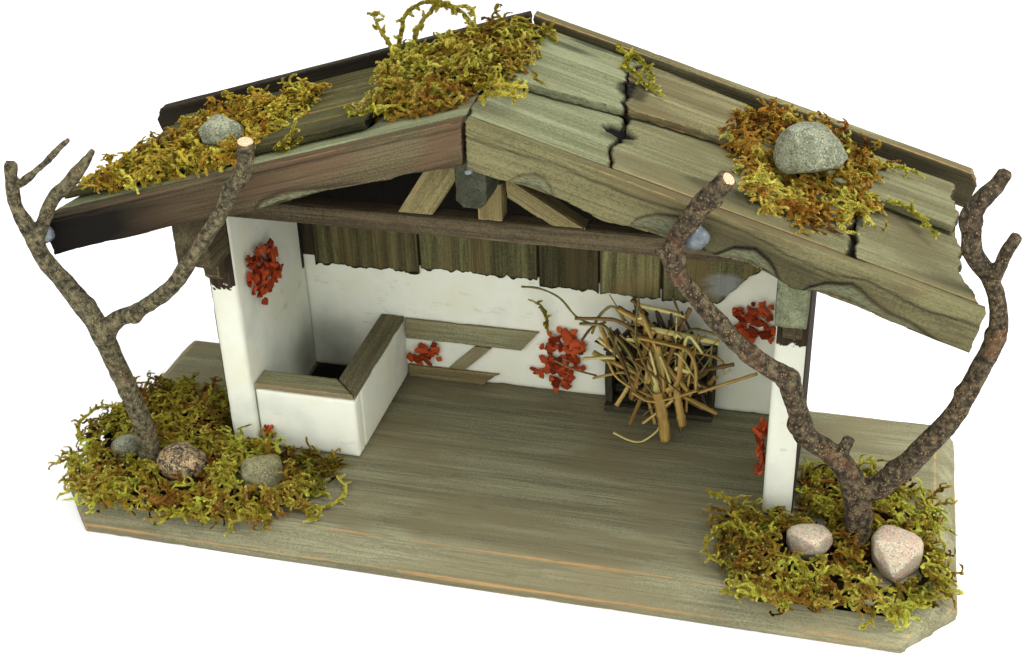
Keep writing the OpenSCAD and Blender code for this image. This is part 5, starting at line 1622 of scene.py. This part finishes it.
# Stalks and leaves that stand out: colour, radius, flatness and the points they pass
MAIN_STALKS = [
    ("tan", 1.9, 0.7, [(50, 50, 90), (69, 48, 82), (81, 45, 77)]),
    ("brown", 2.4, 0.4, [(58, 53, 95), (63, 52, 90), (66, 50, 85)]),
    ("pale", 1.0, 0.9, [(62, 52, 92), (81, 51, 90), (88, 50, 89)]),
    ("pale", 1.3, 0.9, [(67, 44, 83), (87, 45, 80), (107, 46, 77)]),
    ("brown", 1.2, 0.3, [(80, 53, 99), (86, 50, 86), (88, 47, 76)]),
    ("brown", 1.0, 0.3, [(90, 53, 93), (87, 50, 86), (84, 47, 78)]),
    ("olive", 0.5, 0.9, [(-6, 58, 93), (5, 56, 94), (17, 53, 91), (27, 50, 82), (36, 47, 80)]),
    ("brown", 1.0, 0.7, [(27, 48, 82), (43, 47, 84), (51, 45, 85), (62, 44, 80), (74, 42, 72)]),
    ("olive", 1.2, 0.5, [(30, 46, 80), (43, 45, 81), (48, 44, 76), (54, 42, 68)]),
    ("brown", 1.3, 0.5, [(47, 43, 78), (54, 40, 65), (58, 38, 57), (64, 36, 44)]),
    ("olive", 1.4, 0.4, [(52, 42, 76), (58, 40, 70), (65, 38, 59)]),
    ("tan", 2.3, 0.3, [(62, 42, 78), (80, 38, 78), (91, 37, 76), (96, 36, 67), (97, 34, 54)]),
    ("pale", 0.8, 0.6, [(71, 36, 73), (75, 34, 60)]),
    ("tan", 1.6, 0.5, [(75, 40, 75), (78, 37, 64), (80, 34, 50)]),
    ("tan", 1.7, 0.3, [(39, 42, 48), (48, 41, 52), (57, 40, 55), (66, 38, 50)]),
    ("brown", 0.7, 0.6, [(14, 52, 50), (26, 47, 49), (40, 43, 49)]),
    ("brown", 1.3, 0.4, [(57, 40, 58), (62, 37, 50), (65, 34, 44)]),
    ("tan", 1.6, 0.35, [(62, 34, 47), (72, 33, 43), (84, 34, 46), (98, 34, 53)]),
    ("tan", 2.5, 0.9, [(76, 35, 48), (80, 31, 33), (82, 29, 20.5)]),
    ("tan", 1.8, 0.85, [(86, 36, 52), (89, 32, 40), (91, 31, 31)]),
    ("pale", 0.7, 0.5, [(53, 27, 23), (62, 27, 19), (69, 28, 18.5), (77, 31, 25), (78, 33, 31)]),
    ("tan", 1.0, 0.6, [(69, 31, 29), (77, 32, 37), (85, 34, 45)]),
    ("tan", 1.0, 0.6, [(98, 36, 50), (114, 40, 56), (129, 43, 62)]),
    ("olive", 0.7, 0.6, [(104, 42, 78), (103, 40, 70), (98, 38, 61)]),
    ("brown", 1.5, 0.4, [(58, 39, 67), (70, 37, 60), (76, 36, 56), (81, 34, 46)]),
    ("olive", 0.6, 0.8, [(36, 50, 72), (40, 49, 84), (48, 48, 92), (55, 47, 84)]),
    ("brown", 0.6, 0.8, [(30, 52, 66), (36, 50, 76), (44, 47, 82)]),
]
# Stalks that fill the heap run between these two places, give or take
HEAP_TOP, HEAP_TOP_SPREAD = (72, 43, 76), (17, 4, 9)
HEAP_FOOT, HEAP_FOOT_SPREAD = (78, 37, 46), (12, 3, 10)
HEAP_STALKS = 70
# Near-black leaves behind them, as painted shade deep in the heap
DEEP_TOP, DEEP_FOOT, DEEP_SPREAD = (70, 51, 78), (78, 48, 46), (12, 1.5, 8)
DEEP_STALKS = 46
STALK_SCALE = 1.45
# How far stalks may reach past the CAD straw: left, front and down, then right, back and up
STRAW_BEFORE, STRAW_PAST = (45, 5, -0.3), (18, 7, 22)


def heap_lines(rng):
    """Bent stalks and torn leaves that fill the middle of the heap, and near-black leaves behind them as
    painted shade.
    """
    for _ in range(HEAP_STALKS):
        start = rng.normal(HEAP_TOP, HEAP_TOP_SPREAD)
        end = rng.normal(HEAP_FOOT, HEAP_FOOT_SPREAD)
        if rng.random() < 0.3:
            end = start + rng.normal(0, (18, 3, 8))
        knee = (start + end) / 2 + rng.normal(0, (5, 1.5, 5))
        kind = rng.choice(["tan", "tan", "brown", "olive", "pale"])
        yield kind, rng.uniform(0.5, 1.7), rng.uniform(0.2, 0.6), [start, knee, end]
    # Near-black leaves as painted shade in the depth of the heap
    for _ in range(DEEP_STALKS):
        start = rng.normal(DEEP_TOP, DEEP_SPREAD)
        end = rng.normal(DEEP_FOOT, DEEP_SPREAD)
        knee = (start + end) / 2 + rng.normal(0, (5, 1, 5))
        yield "dark", rng.uniform(1.2, 2.6), rng.uniform(0.2, 0.4), [start, knee, end]


def straw():
    """A loose heap of bent hollow stalks and flat leaves over the rack."""
    rng = chance("straw")
    low, high = span("straw")
    least, most = low - STRAW_BEFORE, high + STRAW_PAST
    heaps = {key: [] for key in STRAWS}
    for kind, radius, flat, points in [*MAIN_STALKS, *heap_lines(rng)]:
        line = smooth_line(np.clip(points, least, most), 1.6)
        line[:, 2] = np.maximum(line[:, 2], low[2] + radius)
        line[:, 1] = np.minimum(line[:, 1], WALL_FACE - radius)
        heaps[kind].append(stalk(rng, line, radius * STALK_SCALE, flat))
    for key, stalks in heaps.items():
        mesh = new_mesh("straw_" + key, *joined([(points, faces) for points, faces, _ in stalks]))
        store(mesh, "grain", np.concatenate([grain for _, _, grain in stalks]))
        piece("straw_" + key, mesh, STRAWS[key], "straw", ["straw"])


# Glue
GLUE = glue()
# How far each bead fills its CAD ball across, forward and up
BEAD_FORMS = [(1, 1, 1), (0.6, 1, 0.36), (1, 1, 1)]


def glue_beads():
    """Set drops of glue where the twigs touch the roof's edge."""
    for i, points in enumerate(by_place("glue_beads")):
        middle, half = middle_and_half(points)
        skin, faces = ball(detail=4)
        skin = skin * (1 - 0.12 * (1 + soft_noise(skin * 1.6 + i, 5)))[:, None]
        mesh = new_mesh(f"glue_bead_{i + 1}", skin * half * BEAD_FORMS[i] + middle, faces)
        piece(f"glue_bead_{i + 1}", mesh, GLUE, "glue", ["glue_beads"])


base_board()
walls()
for plank in range(1, 6):
    back_plank(plank)
truss()
roof()
fittings()
twigs()
pebbles()
all_chips()
straw()
glue_beads()
moss_all()


# Stage, light and camera
FLOOR_REACH = 4000


def stage():
    """A plain pale floor that is white to the camera and keeps the object's shadow."""
    corners = [(x * FLOOR_REACH, y * FLOOR_REACH, 0) for x, y in ((-1, -1), (1, -1), (1, 1), (-1, 1))]
    mesh = new_mesh("floor", corners, [(0, 1, 2, 3)])
    floor = link("floor", mesh)
    m = Shade("floor_paper", 0.9)
    m.shader.inputs["Base Color"].default_value = (0.9, 0.9, 0.9, 1)
    m.shader.inputs["Specular IOR Level"].default_value = 0.1
    glow = m.node("ShaderNodeEmission")
    glow.inputs["Strength"].default_value = 0.28
    add = m.node("ShaderNodeAddShader")
    m.put(m.shader.outputs[0], add.inputs[0])
    m.put(glow.outputs[0], add.inputs[1])
    path = m.node("ShaderNodeLightPath")
    seen = m.math("MAXIMUM", path.outputs["Is Camera Ray"], path.outputs["Is Glossy Ray"])
    seen = m.math("MAXIMUM", seen, path.outputs["Is Transmission Ray"])
    choose = m.node("ShaderNodeMixShader")
    m.put(seen, choose.inputs[0])
    m.put(m.shader.outputs[0], choose.inputs[1])
    m.put(add.outputs[0], choose.inputs[2])
    m.put(choose.outputs[0], m.tree.nodes["Material Output"].inputs["Surface"])
    mesh.materials.append(m.material)
    floor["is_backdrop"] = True


def world():
    """An even sky that is white to the camera."""
    made = bpy.data.worlds.new("studio")
    bpy.context.scene.world = made
    made.use_nodes = True
    tree = made.node_tree
    sky = tree.nodes["Background"]
    sky.inputs["Color"].default_value = (1, 1, 1, 1)
    sky.inputs["Strength"].default_value = 0.85
    white = tree.nodes.new("ShaderNodeBackground")
    white.inputs["Color"].default_value = (1, 1, 1, 1)
    path = tree.nodes.new("ShaderNodeLightPath")
    mix = tree.nodes.new("ShaderNodeMixShader")
    tree.links.new(path.outputs["Is Camera Ray"], mix.inputs[0])
    tree.links.new(sky.outputs[0], mix.inputs[1])
    tree.links.new(white.outputs[0], mix.inputs[2])
    tree.links.new(mix.outputs[0], tree.nodes["World Output"].inputs["Surface"])


def area_light(name, place, target, size, power):
    """A soft square lamp; place, target and size are in metres."""
    data = bpy.data.lights.new(name, "AREA")
    data.size = size
    data.energy = power
    lamp = link(name, data)
    lamp.location = place
    lamp.rotation_euler = (Vector(target) - Vector(place)).to_track_quat("-Z", "Y").to_euler()


CAMERA_PLACE = (170.553, -615.998, 482.218)
CAMERA_BACK = Vector((0.22485, -0.82893, 0.51218))
CAMERA_RIGHT = Vector((0.96893, 0.24584, -0.02749))
FOCAL_PIXELS = 1419.28
FRAME_PIXELS = 1024
SENSOR = 36


def camera():
    """The photograph's view: place and axes found from the object's own edges."""
    data = bpy.data.cameras.new("camera")
    data.sensor_width = SENSOR
    data.lens = SENSOR * FOCAL_PIXELS / FRAME_PIXELS
    data.clip_start = 0.01
    eye = link("camera", data)
    back = CAMERA_BACK.normalized()
    right = (CAMERA_RIGHT - back * CAMERA_RIGHT.dot(back)).normalized()
    up = back.cross(right)
    eye.matrix_world = Matrix.LocRotScale(
        Vector(CAMERA_PLACE) * MM, Matrix((right, up, back)).transposed().to_quaternion(), None
    )
    bpy.context.scene.camera = eye


stage()
world()
area_light("key", (1.0, -0.4, 1.55), (0, 0, 0.12), 1.1, 27.5)
area_light("front", (0.5, -1.8, 0.8), (0, 0, 0.1), 1.6, 9)
area_light("side", (-0.8, -1.6, 0.8), (0, 0, 0.1), 1.6, 9)
camera()
bpy.context.scene.view_settings.view_transform = "Standard"

seen_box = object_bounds()
boxes = {"cad": cad_box, "visual": seen_box}
{key: [list(corner) for corner in box] for key, box in boxes.items()}
